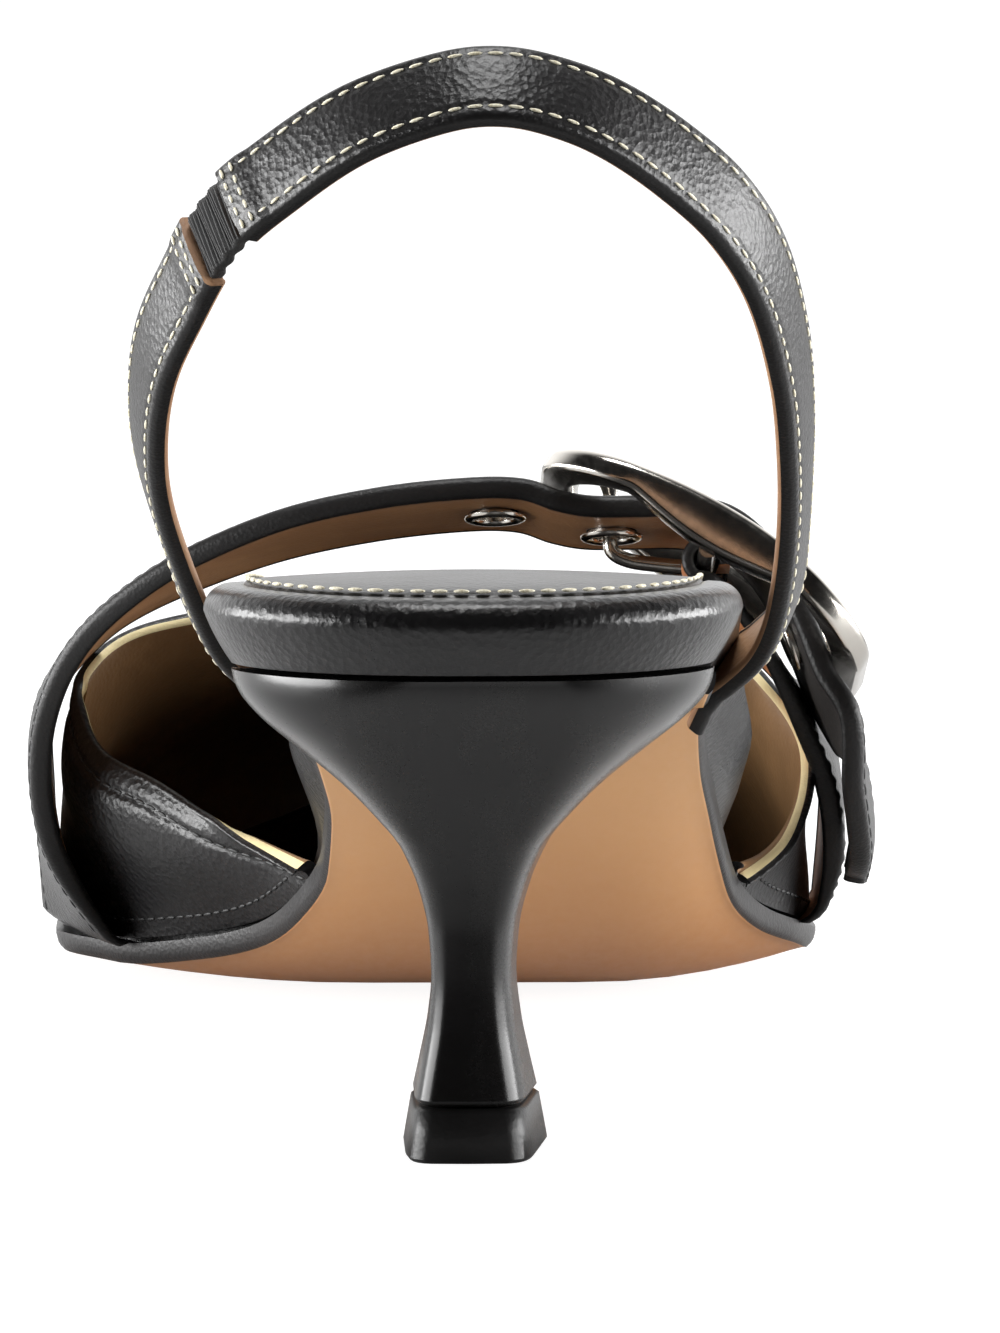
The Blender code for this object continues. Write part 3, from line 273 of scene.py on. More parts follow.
HEEL_ROWS = rows_of(HeelRow, (
    (0.000, 0.154, -0.500, 0.500, 0.84, 5.0, 0.00),
    (0.110, 0.134, -0.470, 0.460, 0.84, 5.0, 0.00),
    (0.190, 0.116, -0.440, 0.420, 0.86, 4.6, 0.00),
    (0.280, 0.098, -0.415, 0.380, 0.88, 4.2, 0.00),
    (0.370, 0.089, -0.405, 0.360, 0.90, 4.0, 0.00),
    (0.460, 0.095, -0.410, 0.380, 0.90, 3.8, 0.00),
    (0.550, 0.117, -0.440, 0.440, 0.90, 3.6, 0.00),
    (0.630, 0.152, -0.490, 0.530, 0.92, 3.4, 0.00),
    (0.700, 0.195, -0.560, 0.650, 0.94, 3.2, 0.05),
    (0.770, 0.252, -0.650, 0.790, 0.96, 3.0, 0.12),
    (0.840, 0.325, -0.760, 0.950, 0.98, 2.8, 0.25),
    (0.900, 0.394, -0.860, 1.100, 1.00, 2.7, 0.45),
    (0.955, 0.450, -0.950, 1.250, 1.00, 2.6, 0.75),
    (1.000, 0.490, -1.010, 1.400, 1.00, 2.6, 1.00),
))


class StrapRow(NamedTuple):
    """One station of a strap: its rear edge on the lining side, and the way to its front edge.

    side is a share of BALL_WIDTH, along of LAST_LENGTH from the seat's rear, and rise of
    BELT_RISE; across_* is the direction of the width.
    """

    side: float
    along: float
    rise: float
    across_x: float
    across_y: float
    across_z: float


BELT_ROWS = rows_of(StrapRow, (
    (-0.4481, 0.5781, 0.1107, -0.32, 0.94, 0.02),
    (-0.4840, 0.5626, 0.2054, -0.15, 0.97, 0.1),
    (-0.5123, 0.5462, 0.3036, -0.04, 0.98, 0.16),
    (-0.5235, 0.5325, 0.4196, 0.0, 0.98, 0.17),
    (-0.5160, 0.5200, 0.5357, 0.03, 0.98, 0.06),
    (-0.4864, 0.5071, 0.6482, 0.06, 0.98, -0.06),
    (-0.4321, 0.4908, 0.7464, 0.04, 0.98, -0.15),
    (-0.3457, 0.4761, 0.8411, 0.01, 0.97, -0.24),
    (-0.2222, 0.4649, 0.9232, 0.0, 0.955, -0.28),
    (-0.0988, 0.4598, 0.9661, 0.0, 0.955, -0.29),
    (0.0123, 0.4589, 0.9839, 0.0, 0.957, -0.29),
))


class BuckleRow(NamedTuple):
    """One station inside the buckle, in shares of BUCKLE_HALF_LENGTH and of BUCKLE_ARCH."""

    along: float
    out: float


BUCKLE_RUN = rows_of(BuckleRow, (
    (-1.107, -0.887),
    (-0.899, -0.698),
    (-0.708, -0.434),
    (-0.472, 0.075),
    (-0.247, 0.566),
    (-0.022, 0.849),
    (0.225, 0.736),
    (0.461, 0.340),
    (0.685, -0.170),
    (0.910, -0.717),
    (1.169, -1.189),
))

TIP_ROWS = rows_of(StrapRow, (
    (0.4925, 0.4390, 0.4554, 0.05, 0.99, 0.0),
    (0.4990, 0.4470, 0.3750, 0.06, 0.99, 0.06),
    (0.5030, 0.4550, 0.3036, 0.06, 0.99, 0.1),
    (0.4970, 0.4625, 0.2321, 0.05, 0.99, 0.13),
))

ANCHOR_ROWS = rows_of(StrapRow, (
    (0.3556, 0.4615, 0.7679, 0.02, 0.95, -0.27),
    (0.3877, 0.4710, 0.6946, 0.03, 0.96, -0.2),
    (0.4136, 0.4839, 0.6143, 0.04, 0.97, -0.09),
    (0.4383, 0.4981, 0.5268, 0.05, 0.97, 0.05),
    (0.4617, 0.5131, 0.4393, 0.04, 0.97, 0.14),
    (0.4765, 0.5260, 0.3446, 0.02, 0.98, 0.16),
    (0.4802, 0.5363, 0.2500, 0.0, 0.98, 0.14),
    (0.4741, 0.5449, 0.1750, 0.0, 1.0, -0.04),
))


class SlingRow(NamedTuple):
    """One station of the sling strap's rear edge: side and rise are shares of its named sizes.

    outwards is how far the width leans away from the loop's middle towards the front edge.
    """

    side: float
    rise: float
    outwards: float


SLING_ROWS = rows_of(SlingRow, (
    (-0.665, 0.000, 0.44),
    (-0.775, 0.060, 0.40),
    (-0.870, 0.170, 0.30),
    (-0.965, 0.325, 0.26),
    (-0.985, 0.440, 0.26),
    (-0.955, 0.550, 0.28),
    (-0.873, 0.650, 0.30),
    (-0.740, 0.775, 0.32),
    (-0.560, 0.860, 0.30),
    (-0.340, 0.940, 0.20),
    (-0.090, 0.990, 0.08),
    (0.080, 1.000, 0.00),
    (0.240, 0.982, 0.08),
    (0.400, 0.945, 0.18),
    (0.580, 0.880, 0.26),
    (0.750, 0.798, 0.30),
    (0.880, 0.690, 0.30),
    (0.965, 0.545, 0.28),
    (1.000, 0.410, 0.26),
    (1.010, 0.290, 0.24),
    (0.998, 0.180, 0.28),
    (0.970, 0.100, 0.36),
    (0.920, 0.045, 0.43),
    (0.835, 0.000, 0.46),
))

PRONG_PATH = rows_of(BuckleRow, (
    (-0.107, 0.000),
    (-0.258, -0.264),
    (-0.410, -0.491),
    (-0.522, -0.509),
    (-0.590, -0.226),
    (-0.652, 0.113),
    (-0.725, 0.472),
    (-0.843, 0.679),
    (-0.966, 0.660),
    (-1.090, 0.509),
))


def eased(places: list[float], values: list[float], at: float) -> float:
    """Value at a place along a table, through a cubic that never overshoots its rows.

    Args:
        places: place of each row, rising.
        values: value of each row.
        at: place to read.

    Returns:
        The value there.
    """
    last = len(places) - 1
    at = min(max(at, places[0]), places[last])
    row = min(max(bisect.bisect_right(places, at) - 1, 0), last - 1)
    steps = [places[k + 1] - places[k] for k in range(last)]
    slopes = [(values[k + 1] - values[k]) / steps[k] for k in range(last)]

    def tangent(k: int) -> float:
        """Slope of the curve at a row.

        Args:
            k: number of the row.

        Returns:
            The slope, which is 0 at a peak.
        """
        if k == 0:
            return slopes[0]
        if k == last:
            return slopes[last - 1]
        before, after = slopes[k - 1], slopes[k]
        if before * after <= 0.0:
            return 0.0
        return 2.0 * before * after / (before + after)

    span = steps[row]
    t = (at - places[row]) / span
    start = values[row] * (2 * t**3 - 3 * t**2 + 1) + values[row + 1] * (3 * t**2 - 2 * t**3)
    lean = tangent(row) * (t**3 - 2 * t**2 + t) + tangent(row + 1) * (t**3 - t**2)
    return start + span * lean


def rounded(share: float, square: float = 2.0) -> float:
    """Width of a rounded end at a share of its length from the tip, as a share of the full width."""
    if share >= 1.0:
        return 1.0
    return max(1.0 - (1.0 - max(share, 0.0)) ** square, 0.0) ** (1.0 / square)


def catmull(points: list[Vector], at: float) -> Vector:
    """Point on a smooth curve through the points.

    Args:
        points: points in order.
        at: place, counted in points from 0.

    Returns:
        The point.
    """
    last = len(points) - 1
    row = min(int(at), last - 1)
    t = at - row
    before = points[max(row - 1, 0)]
    here = points[row]
    after = points[row + 1]
    beyond = points[min(row + 2, last)]
    a = 2.0 * here
    b = (after - before) * t
    c = (2.0 * before - 5.0 * here + 4.0 * after - beyond) * t**2
    d = (3.0 * here - before - 3.0 * after + beyond) * t**3
    return 0.5 * (a + b + c + d)


class Last:
    """The last's bottom: outline, height and crown at any place along the shoe."""

    seat_square: float = 2.3
    flat_share: float = 0.35

    def __init__(self, rows: tuple[SoleRow, ...]) -> None:
        """Split the table into columns and place its two ends."""
        self.places = [row.along for row in rows]
        self.columns = {name: [getattr(row, name) for row in rows] for name in SoleRow._fields}
        self.rear = -SEAT_REACH
        self.toe = LAST_LENGTH - SEAT_REACH

    def read(self, name: str, y: float) -> float:
        """Value of a named column at a place along the shoe."""
        return eased(self.places, self.columns[name], (y - self.rear) / LAST_LENGTH)

    def edges(self, y: float, inset: float = 0.0) -> tuple[float, float]:
        """Edges of the feather line at a place.

        Args:
            y: place along the shoe.
            inset: how far both edges are moved in.

        Returns:
            X of the medial and the lateral edge.
        """
        medial = -self.read("medial", y) * BALL_WIDTH
        lateral = self.read("lateral", y) * BALL_WIDTH
        centre = 0.5 * (medial + lateral)
        half = 0.5 * (lateral - medial)
        seat = rounded((y - self.rear - inset) / SEAT_ROUND, self.seat_square)
        toe = rounded((self.toe - inset - y) / TOE_ROUND)
        half = max(half * seat * toe - inset, 0.00012)
        return centre - half, centre + half

    def keel(self, y: float) -> float:
        """Height of the sole's upper face along its centre line."""
        lift = self.read("lift", y) * (SEAT_BASE - SOLE_THICKNESS)
        return SOLE_THICKNESS + lift + self.read("spring", y) * TOE_SPRING

    def height(self, x: float, y: float) -> float:
        """Height of the sole's upper face, flat in the middle and crowned to its edges.

        Args:
            x: place across the shoe.
            y: place along it.

        Returns:
            The height.
        """
        medial, lateral = self.edges(y)
        half = max(0.5 * (lateral - medial), 0.001)
        offset = (x - 0.5 * (medial + lateral)) / half
        name = "crown_lateral" if offset > 0.0 else "crown_medial"
        share = max(abs(offset) - self.flat_share, 0.0) / (1.0 - self.flat_share)
        return self.keel(y) + self.read(name, y) * TREAD_CROWN * min(share, 1.0) ** 2

    def slant(self, y: float) -> float:
        """Cosine of the keel's slope, which thickens a wall measured upright."""
        step = 0.001
        slope = (self.keel(y + step) - self.keel(y - step)) / (2.0 * step)
        return 1.0 / math.sqrt(1.0 + slope * slope)


LAST = Last(SOLE_ROWS)


class Upper:
    """Surface of the vamp: ribs from the topline to the feather edge."""

    route_steps: int = 240
    look_ahead: float = 0.004
    leave_share: float = 0.40
    land_share: float = 0.36
    land_limit: float = 0.020

    def __init__(self, rows: tuple[UpperRow, ...]) -> None:
        """Work out the topline and the feather edge of both sides."""
        self.rows = rows
        self.places = [float(k) for k in range(len(rows))]
        self.topline = [self.topline_point(row) for row in rows]
        self.routes = {side: self.route(side) for side in (-1, 1)}

    def topline_point(self, row: UpperRow) -> Vector:
        """Place of a row on the topline."""
        y = LAST.rear + row.along * LAST_LENGTH
        return Vector((row.side * BALL_WIDTH, y, LAST.keel(y) + row.rise * THROAT_RISE))

    def route(self, side: int) -> tuple[list[float], list[Vector]]:
        """Feather edge of one side, from the rear corner to the toe tip.

        Args:
            side: -1 for the medial side, 1 for the lateral one.

        Returns:
            The share of the length at each point, and the points.
        """
        corner = self.rows[0] if side < 0 else self.rows[-1]
        start = LAST.rear + corner.along * LAST_LENGTH
        span = LAST.toe - start
        points = []
        for k in range(self.route_steps + 1):
            y = start + span * math.sin(k / self.route_steps * math.pi / 2.0)
            x = LAST.edges(y)[0 if side < 0 else 1]
            points.append(Vector((x, y, LAST.height(x, y) + 2.0 * GAP)))
        points[-1].x = sum(LAST.edges(LAST.toe - 0.00001)) * 0.5
        lengths = [0.0]
        for a, b in zip(points, points[1:]):
            lengths.append(lengths[-1] + (b - a).length)
        return [length / lengths[-1] for length in lengths], points

    def feather(self, landing: float) -> tuple[Vector, Vector]:
        """Place where a rib lands on the feather edge.

        Args:
            landing: 0 at the medial rear corner, 1 at the toe tip, 2 at the lateral rear corner.

        Returns:
            The point and the outward direction.
        """
        side = -1 if landing <= 1.0 else 1
        share = landing if side < 0 else 2.0 - landing
        lengths, points = self.routes[side]

        def at(place: float) -> Vector:
            """Point of the route at a share of its length."""
            k = min(max(bisect.bisect_right(lengths, place) - 1, 0), len(points) - 2)
            t = (place - lengths[k]) / (lengths[k + 1] - lengths[k])
            return points[k].lerp(points[k + 1], t)

        point = at(share)
        if abs(landing - 1.0) < self.look_ahead:
            return point, Vector((0.0, 1.0, 0.0))
        ahead = at(min(share + self.look_ahead, 1.0)) - at(max(share - self.look_ahead, 0.0))
        out = Vector((ahead.y, -ahead.x, 0.0)).normalized() * side
        return point, out

    def rib(self, at: float, steps: int, crowd: float) -> list[Vector]:
        """Points down one rib of the outer face, topline first.

        Args:
            at: row count along the topline.
            steps: number of steps down.
            crowd: power that draws the points towards the topline.

        Returns:
            The points.
        """
        top = catmull(self.topline, at)
        landing = eased(self.places, [row.landing for row in self.rows], at)
        pitch = math.radians(eased(self.places, [row.pitch for row in self.rows], at))
        lean = math.radians(eased(self.places, [row.lean for row in self.rows], at))
        foot, out = self.feather(landing)
        span = (top - foot).length
        level = Vector((foot.x - top.x, foot.y - top.y, 0.0))
        level = level.normalized() if level.length > 1e-5 else out
        leave = level * math.cos(pitch) - Vector((0.0, 0.0, math.sin(pitch)))
        rise = out * math.sin(lean) + Vector((0.0, 0.0, math.cos(lean)))
        swell = MEDIAL_SWELL * max(1.0 - ((at - SWELL_ROW) / SWELL_SPAN) ** 2, 0.0)
        second = top + leave * span * self.leave_share + out * swell
        third = foot + rise * min(span * self.land_share, self.land_limit)
        points = []
        for k in range(steps + 1):
            t = (k / steps) ** crowd
            a, b, c, d = (1 - t) ** 3, 3 * t * (1 - t) ** 2, 3 * t**2 * (1 - t), t**3
            points.append(top * a + second * b + third * c + foot * d)
        return points


UPPER = Upper(UPPER_ROWS)


def grid_normal(grid: list[list[Vector]], i: int, j: int) -> Vector:
    """Normal of a grid of points at rib i and step j."""
    across = grid[min(i + 1, len(grid) - 1)][j] - grid[max(i - 1, 0)][j]
    down = grid[i][min(j + 1, len(grid[0]) - 1)] - grid[i][max(j - 1, 0)]
    return across.cross(down).normalized()


class Band:
    """A flat strap along a smooth route, measured from its rear edge on the lining side."""

    steps: int = 400
    look_ahead: float = 0.02

    def __init__(self, edge: list[Vector], across: list[Vector], width: float, thickness: float) -> None:
        """Measure the strap along its middle.

        Args:
            edge: points of the rear edge, on the lining side.
            across: direction of the width at each point.
            width: full width.
            thickness: full thickness.
        """
        self.edge = edge
        self.across = across
        self.width = width
        self.thickness = thickness
        self.marks = [0.0]
        here = self.middle_at(0.0)
        for k in range(1, self.steps + 1):
            there = self.middle_at(k / self.steps * (len(edge) - 1))
            self.marks.append(self.marks[-1] + (there - here).length)
            here = there
        self.length = self.marks[-1]

    def middle_at(self, at: float) -> Vector:
        """Point on the middle line, where at counts the rows."""
        return catmull(self.edge, at) + catmull(self.across, at).normalized() * self.width * 0.5

    def place(self, share: float) -> float:
        """Row count at a share of the strap's length."""
        goal = share * self.length
        k = min(max(bisect.bisect_right(self.marks, goal) - 1, 0), len(self.marks) - 2)
        t = (goal - self.marks[k]) / (self.marks[k + 1] - self.marks[k])
        return (k + t) / (len(self.marks) - 1) * (len(self.edge) - 1)

    def frame(self, share: float) -> tuple[Vector, Vector, Vector]:
        """Frame of the strap at a share of its length.

        Args:
            share: share of the length.

        Returns:
            The rear edge, the direction of the width and the outward normal.
        """
        at = self.place(share)
        final = len(self.edge) - 1
        behind = self.middle_at(max(at - self.look_ahead, 0.0))
        ahead = self.middle_at(min(at + self.look_ahead, final)) - behind
        across = catmull(self.across, at).normalized()
        normal = ahead.cross(across).normalized()
        return catmull(self.edge, at), across, normal

    def point(self, share: float, across: float, out: float) -> Vector:
        """Point at a share of the length, a share of the width, and a distance out."""
        edge, way, normal = self.frame(share)
        return edge + way * self.width * across + normal * out


def strap_spot(side: float, along: float, rise: float) -> Vector:
    """A place on the forefoot from shares of the ball's width, the last and the belt's rise."""
    return Vector((side * BALL_WIDTH, LAST.rear + along * LAST_LENGTH, rise * BELT_RISE))


def strap_points(rows: tuple[StrapRow, ...]) -> tuple[list[Vector], list[Vector]]:
    """Rear edge points and width directions of a table of stations."""
    edge = [strap_spot(row.side, row.along, row.rise) for row in rows]
    across = [Vector((row.across_x, row.across_y, row.across_z)) for row in rows]
    return edge, across


def buckle_axes() -> tuple[Vector, Vector, Vector]:
    """Directions along the belt, across it to the front, and out of the buckle."""
    forward = Vector((0.0, math.cos(BUCKLE_PITCH), -math.sin(BUCKLE_PITCH)))
    along = Vector((math.cos(BUCKLE_SLOPE), 0.0, -math.sin(BUCKLE_SLOPE)))
    along = (along - forward * along.dot(forward)).normalized()
    return along, forward, along.cross(forward).normalized()


ALONG, FORWARD, OUTWARD = buckle_axes()
BUCKLE_CENTRE = strap_spot(*BUCKLE_SEAT) + FORWARD * BUCKLE_HALF_WIDTH
PRONG_ACROSS = (EYELET_ACROSS - 0.5) * BELT_WIDTH


def buckle_point(along: float, across: float, out: float) -> Vector:
    """Point at distances along, across and out from the buckle's centre."""
    return BUCKLE_CENTRE + ALONG * along + FORWARD * across + OUTWARD * out


def anchor_band() -> Band:
    """Route of the anchor strap: round the buckle's bar, then down to the lateral feather edge.

    Returns:
        The route.
    """
    radius = BAR_RADIUS + GAP + LOOP_THICKNESS
    edge = []
    across = []
    for angle in LOOP_ANGLES:
        turn = math.radians(angle)
        height = BAR_HEIGHT + radius * math.sin(turn)
        edge.append(buckle_point(radius * math.cos(turn), -0.5 * ANCHOR_WIDTH, height))
        across.append(FORWARD.copy())
    down, ways = strap_points(ANCHOR_ROWS)
    return Band(edge + down, across + ways, ANCHOR_WIDTH, ANCHOR_THICKNESS)


def belt_band() -> Band:
    """Route of the belt: up the medial side, over the instep, through the buckle to its tip.

    Returns:
        The route.
    """
    edge, across = strap_points(BELT_ROWS)
    for row in BUCKLE_RUN:
        along, out = row.along * BUCKLE_HALF_LENGTH, row.out * BUCKLE_ARCH
        edge.append(buckle_point(along, -0.5 * BELT_WIDTH, out))
        across.append(FORWARD.copy())
    down, ways = strap_points(TIP_ROWS)
    return Band(edge + down, across + ways, BELT_WIDTH, BELT_THICKNESS)


BELT = belt_band()
ANCHOR = anchor_band()


def eyelet_shares() -> list[float]:
    """Places of the eyelets along the belt, by pitch from the one that holds the prong.

    Returns:
        The shares of the belt's length.
    """
    goal = PRONG_CROSSING * BUCKLE_HALF_LENGTH
    tries = (k / EYELET_SEARCH for k in range(EYELET_SEARCH + 1))
    held = next(
        share for share in tries if (BELT.point(share, EYELET_ACROSS, 0.0) - BUCKLE_CENTRE).dot(ALONG) > goal
    )
    pitch = EYELET_PITCH / BELT.length
    return [held + k * pitch for k in EYELET_STEPS]


def sling_band(width: float, thickness: float) -> Band:
    """Route of the sling strap: an arch that leans back from the waist to behind the heel.

    Args:
        width: width of the piece, centred in the strap's.
        thickness: thickness of the piece.

    Returns:
        The route.
    """
    edge = []
    across = []
    up = Vector((0.0, SLING_LEAN, 1.0)).normalized()
    foot_y = LAST.rear + SLING_FOOT_ALONG * LAST_LENGTH
    foot_z = LAST.keel(foot_y) - SLING_FOOT_DROP
    for row in SLING_ROWS:
        rise = row.rise * SLING_RISE
        x = row.side * SLING_SPREAD
        point = Vector((x, foot_y - rise * SLING_LEAN, foot_z + rise))
        way = up.copy()
        way.x = row.outwards * (1.0 if row.side > 0.0 else -1.0)
        way.z += SLING_CREST_LEAN * max(row.rise - SLING_CREST, 0.0)
        edge.append(point)
        across.append(way.normalized())
    shift = 0.5 * (SLING_WIDTH - width)
    edge = [point + way * shift for point, way in zip(edge, across)]
    return Band(edge, across, width, thickness)


SLING = sling_band(SLING_WIDTH, SLING_THICKNESS)


class Slot(Enum):
    """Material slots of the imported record."""

    SOLE = "sole_leather"
    LEATHER = "black_leather"
    LACQUER = "black_lacquer"
    RUBBER = "tip_rubber"
    ELASTIC = "elastic"
    METAL = "nickel"


Triple = tuple[float, float, float]
Colour = Triple
Tint = Union[Colour, bpy.types.NodeSocket]


def linear(red: int, green: int, blue: int) -> Colour:
    """Scene-linear colour of a display colour.

    Args:
        red: display value from 0 to 255.
        green: display value from 0 to 255.
        blue: display value from 0 to 255.

    Returns:
        The three linear components.
    """

    def one(value: int) -> float:
        """Linear value of one component."""
        share = value / 255.0
        return share / 12.92 if share <= 0.04045 else ((share + 0.055) / 1.055) ** 2.4

    return one(red), one(green), one(blue)


def add_node(
    tree: bpy.types.NodeTree,
    kind: str,
    inputs: Optional[dict[Union[str, int], object]] = None,
    **settings: object,
) -> bpy.types.Node:
    """Add a node to a tree.

    Args:
        tree: the tree.
        kind: the node's type.
        inputs: values or links of its sockets, by name or number.
        settings: its plain properties, set first.

    Returns:
        The node.
    """
    made = tree.nodes.new(kind)
    for key, value in settings.items():
        setattr(made, key, value)
    for name, value in (inputs or {}).items():
        live = [socket for socket in made.inputs if socket.enabled and socket.name == name]
        end = live[0] if live else made.inputs[name]
        value = value.socket if isinstance(value, Wire) else value
        if isinstance(value, bpy.types.NodeSocket):
            tree.links.new(value, end)
        else:
            end.default_value = value
    return made


class Wire:
    """A float output in a shader graph whose arithmetic adds Math nodes."""

    def __init__(self, graph: "ShaderGraph", socket: bpy.types.NodeSocket) -> None:
        """Wrap an output socket of a graph."""
        self.graph = graph
        self.socket = socket

    def _join(self, operation: str, first: "Number", second: "Number") -> "Wire":
        """Add a Math node.

        Args:
            operation: what it works out.
            first: its first value.
            second: its second value.

        Returns:
            The result.
        """
        inputs = {0: first, 1: second}
        return Wire(self.graph, self.graph.node("ShaderNodeMath", inputs, operation=operation).outputs[0])

    def __add__(self, other: "Number") -> "Wire":
        """Sum."""
        return self._join("ADD", self, other)

    __radd__ = __add__

    def __sub__(self, other: "Number") -> "Wire":
        """Difference."""
        return self._join("SUBTRACT", self, other)

    def __rsub__(self, other: "Number") -> "Wire":
        """Difference from a number."""
        return self._join("SUBTRACT", other, self)

    def __mul__(self, other: "Number") -> "Wire":
        """Product."""
        return self._join("MULTIPLY", self, other)

    __rmul__ = __mul__

    def step(self, low: float, high: float) -> "Wire":
        """Smooth rise from 0 at low to 1 at high.

        Args:
            low: value where the rise starts.
            high: value where it ends; below low, the rise falls instead.

        Returns:
            A wire from 0 to 1.
        """
        limits = {"Value": self, "From Min": min(low, high), "From Max": max(low, high)}
        node = self.graph.node("ShaderNodeMapRange", limits, interpolation_type="SMOOTHSTEP")
        rise = Wire(self.graph, node.outputs["Result"])
        return rise if low < high else 1.0 - rise


Number = Union[float, Wire]


class ShaderGraph:
    """One material with a Principled surface and the nodes that feed it."""

    def __init__(self, name: str) -> None:
        """Start a material with its surface and its coordinates.

        Args:
            name: the material's name.
        """
        self.material = bpy.data.materials.new(name)
        self.material.use_nodes = True
        self.tree = self.material.node_tree
        self.tree.nodes.clear()
        output = self.node("ShaderNodeOutputMaterial")
        self.surface = self.node("ShaderNodeBsdfPrincipled")
        self.link(self.surface.outputs[0], output.inputs["Surface"])
        self.place = self.node("ShaderNodeTexCoord").outputs["Object"]

    def node(
        self, kind: str, inputs: Optional[dict[Union[str, int], object]] = None, **settings: object
    ) -> bpy.types.Node:
        """Add a node to the material, in the way of add_node."""
        return add_node(self.tree, kind, inputs, **settings)

    def link(self, start: bpy.types.NodeSocket, end: bpy.types.NodeSocket) -> None:
        """Join an output to an input."""
        self.tree.links.new(start, end)

    def fix(self, **values: object) -> None:
        """Set constants on the Principled surface; underscores stand for spaces."""
        for key, value in values.items():
            name = key.replace("_", " ").title().replace("Ior", "IOR")
            if isinstance(value, tuple):
                value = (*value, 1.0)
            self.surface.inputs[name].default_value = value

    def feed(self, name: str, wire: Union[Wire, bpy.types.NodeSocket]) -> None:
        """Link a varying value into a named input of the surface."""
        socket = wire.socket if isinstance(wire, Wire) else wire
        self.link(socket, self.surface.inputs[name])

    def noise(
        self, scale: float, detail: float = 2.0, rough: float = 0.5, stretch: Triple = (1, 1, 1)
    ) -> Wire:
        """Noise in object space.

        Args:
            scale: features per metre.
            detail: octaves.
            rough: strength of the finer octaves.
            stretch: scale along each axis.

        Returns:
            A wire from about 0 to 1.
        """
        mapping = self.node("ShaderNodeMapping", {"Scale": stretch, "Vector": self.place})
        sizes = {"Scale": scale, "Detail": detail, "Roughness": rough, "Vector": mapping.outputs[0]}
        return Wire(self, self.node("ShaderNodeTexNoise", sizes).outputs["Fac"])

    def cells(self, scale: float) -> Wire:
        """Distance field of random cells in object space."""
        sizes = {"Scale": scale, "Vector": self.place}
        return Wire(self, self.node("ShaderNodeTexVoronoi", sizes).outputs["Distance"])

    def along(self) -> tuple[Wire, Wire]:
        """Distances along and across a piece, from its UV map, in metres."""
        source = self.node("ShaderNodeUVMap", uv_map="strip")
        split = self.node("ShaderNodeSeparateXYZ", {"Vector": source.outputs[0]})
        return Wire(self, split.outputs[0]), Wire(self, split.outputs[1])

    def spot(self) -> tuple[Wire, Wire, Wire]:
        """Object coordinates in metres."""
        split = self.node("ShaderNodeSeparateXYZ", {"Vector": self.place})
        return tuple(Wire(self, split.outputs[k]) for k in range(3))

    def blend(self, share: Wire, low: "Tint", high: "Tint") -> bpy.types.NodeSocket:
        """Mix two colours.

        Args:
            share: wire from 0 to 1.
            low: colour at 0.
            high: colour at 1.

        Returns:
            The mixed colour's socket.
        """
        mix = self.node("ShaderNodeMix", {"Factor": share}, data_type="RGBA")
        ends = [socket for socket in mix.inputs if socket.type == "RGBA"]
        for end, colour in zip(ends, (low, high)):
            if isinstance(colour, bpy.types.NodeSocket):
                self.link(colour, end)
            else:
                end.default_value = (*colour, 1.0)
        return [socket for socket in mix.outputs if socket.type == "RGBA"][0]

    def relief(self, height: Wire, strength: float, distance: float) -> None:
        """Bump the surface by a height field.

        Args:
            height: wire that rises with the surface.
            strength: share of the bump that shows.
            distance: real height of one unit, in metres.
        """
        bump = self.node("ShaderNodeBump", {"Strength": strength, "Distance": distance, "Height": height})
        self.link(bump.outputs[0], self.surface.inputs["Normal"])


@dataclass(frozen=True)
class LeatherLook:
    """Numbers of one leather: colours, gloss and grain.

    grain is the count of pores per metre, depth the height of the relief in metres, and fade
    the distances along a strap between which painted shade turns the leather dark.
    """

    name: str
    colour: Colour
    worn: Colour
    roughness: float
    grain: float
    depth: float
    coat: float = 0.0
    specular: float = 0.5
    fade: Optional[tuple[float, float]] = None

    broad_scale = 70.0
    patch_scale = 260.0
    # Colour of the painted shade on a strap that has a fade.
    shade = (0.010, 0.008, 0.007)

    def dress(self) -> bpy.types.Material:
        """Make the material.

        Returns:
            The material.
        """
        graph = ShaderGraph(self.name)
        cells = graph.cells(self.grain)
        fine = graph.noise(self.grain * 2.1, 3.0, 0.6)
        broad = graph.noise(self.broad_scale, 3.0, 0.55)
        patches = graph.noise(self.patch_scale)
        worn = broad.step(0.42, 0.72) * 0.65 + patches.step(0.5, 0.75) * 0.35
        tint = graph.blend(worn, self.colour, self.worn)
        # Painted shade: between the fade distances the colour turns near black, standing in for shadow.
        if self.fade:
            along, _ = graph.along()
            tint = graph.blend(along.step(*self.fade), tint, self.shade)
        graph.feed("Base Color", tint)
        graph.feed("Roughness", self.roughness + (broad - 0.5) * 0.12 + (fine - 0.5) * 0.10)
        graph.fix(coat_weight=self.coat, coat_roughness=0.25, specular_ior_level=self.specular)
        graph.relief(cells * 0.9 + fine * 0.6 + patches * 0.8, 0.7, self.depth)
        return graph.material


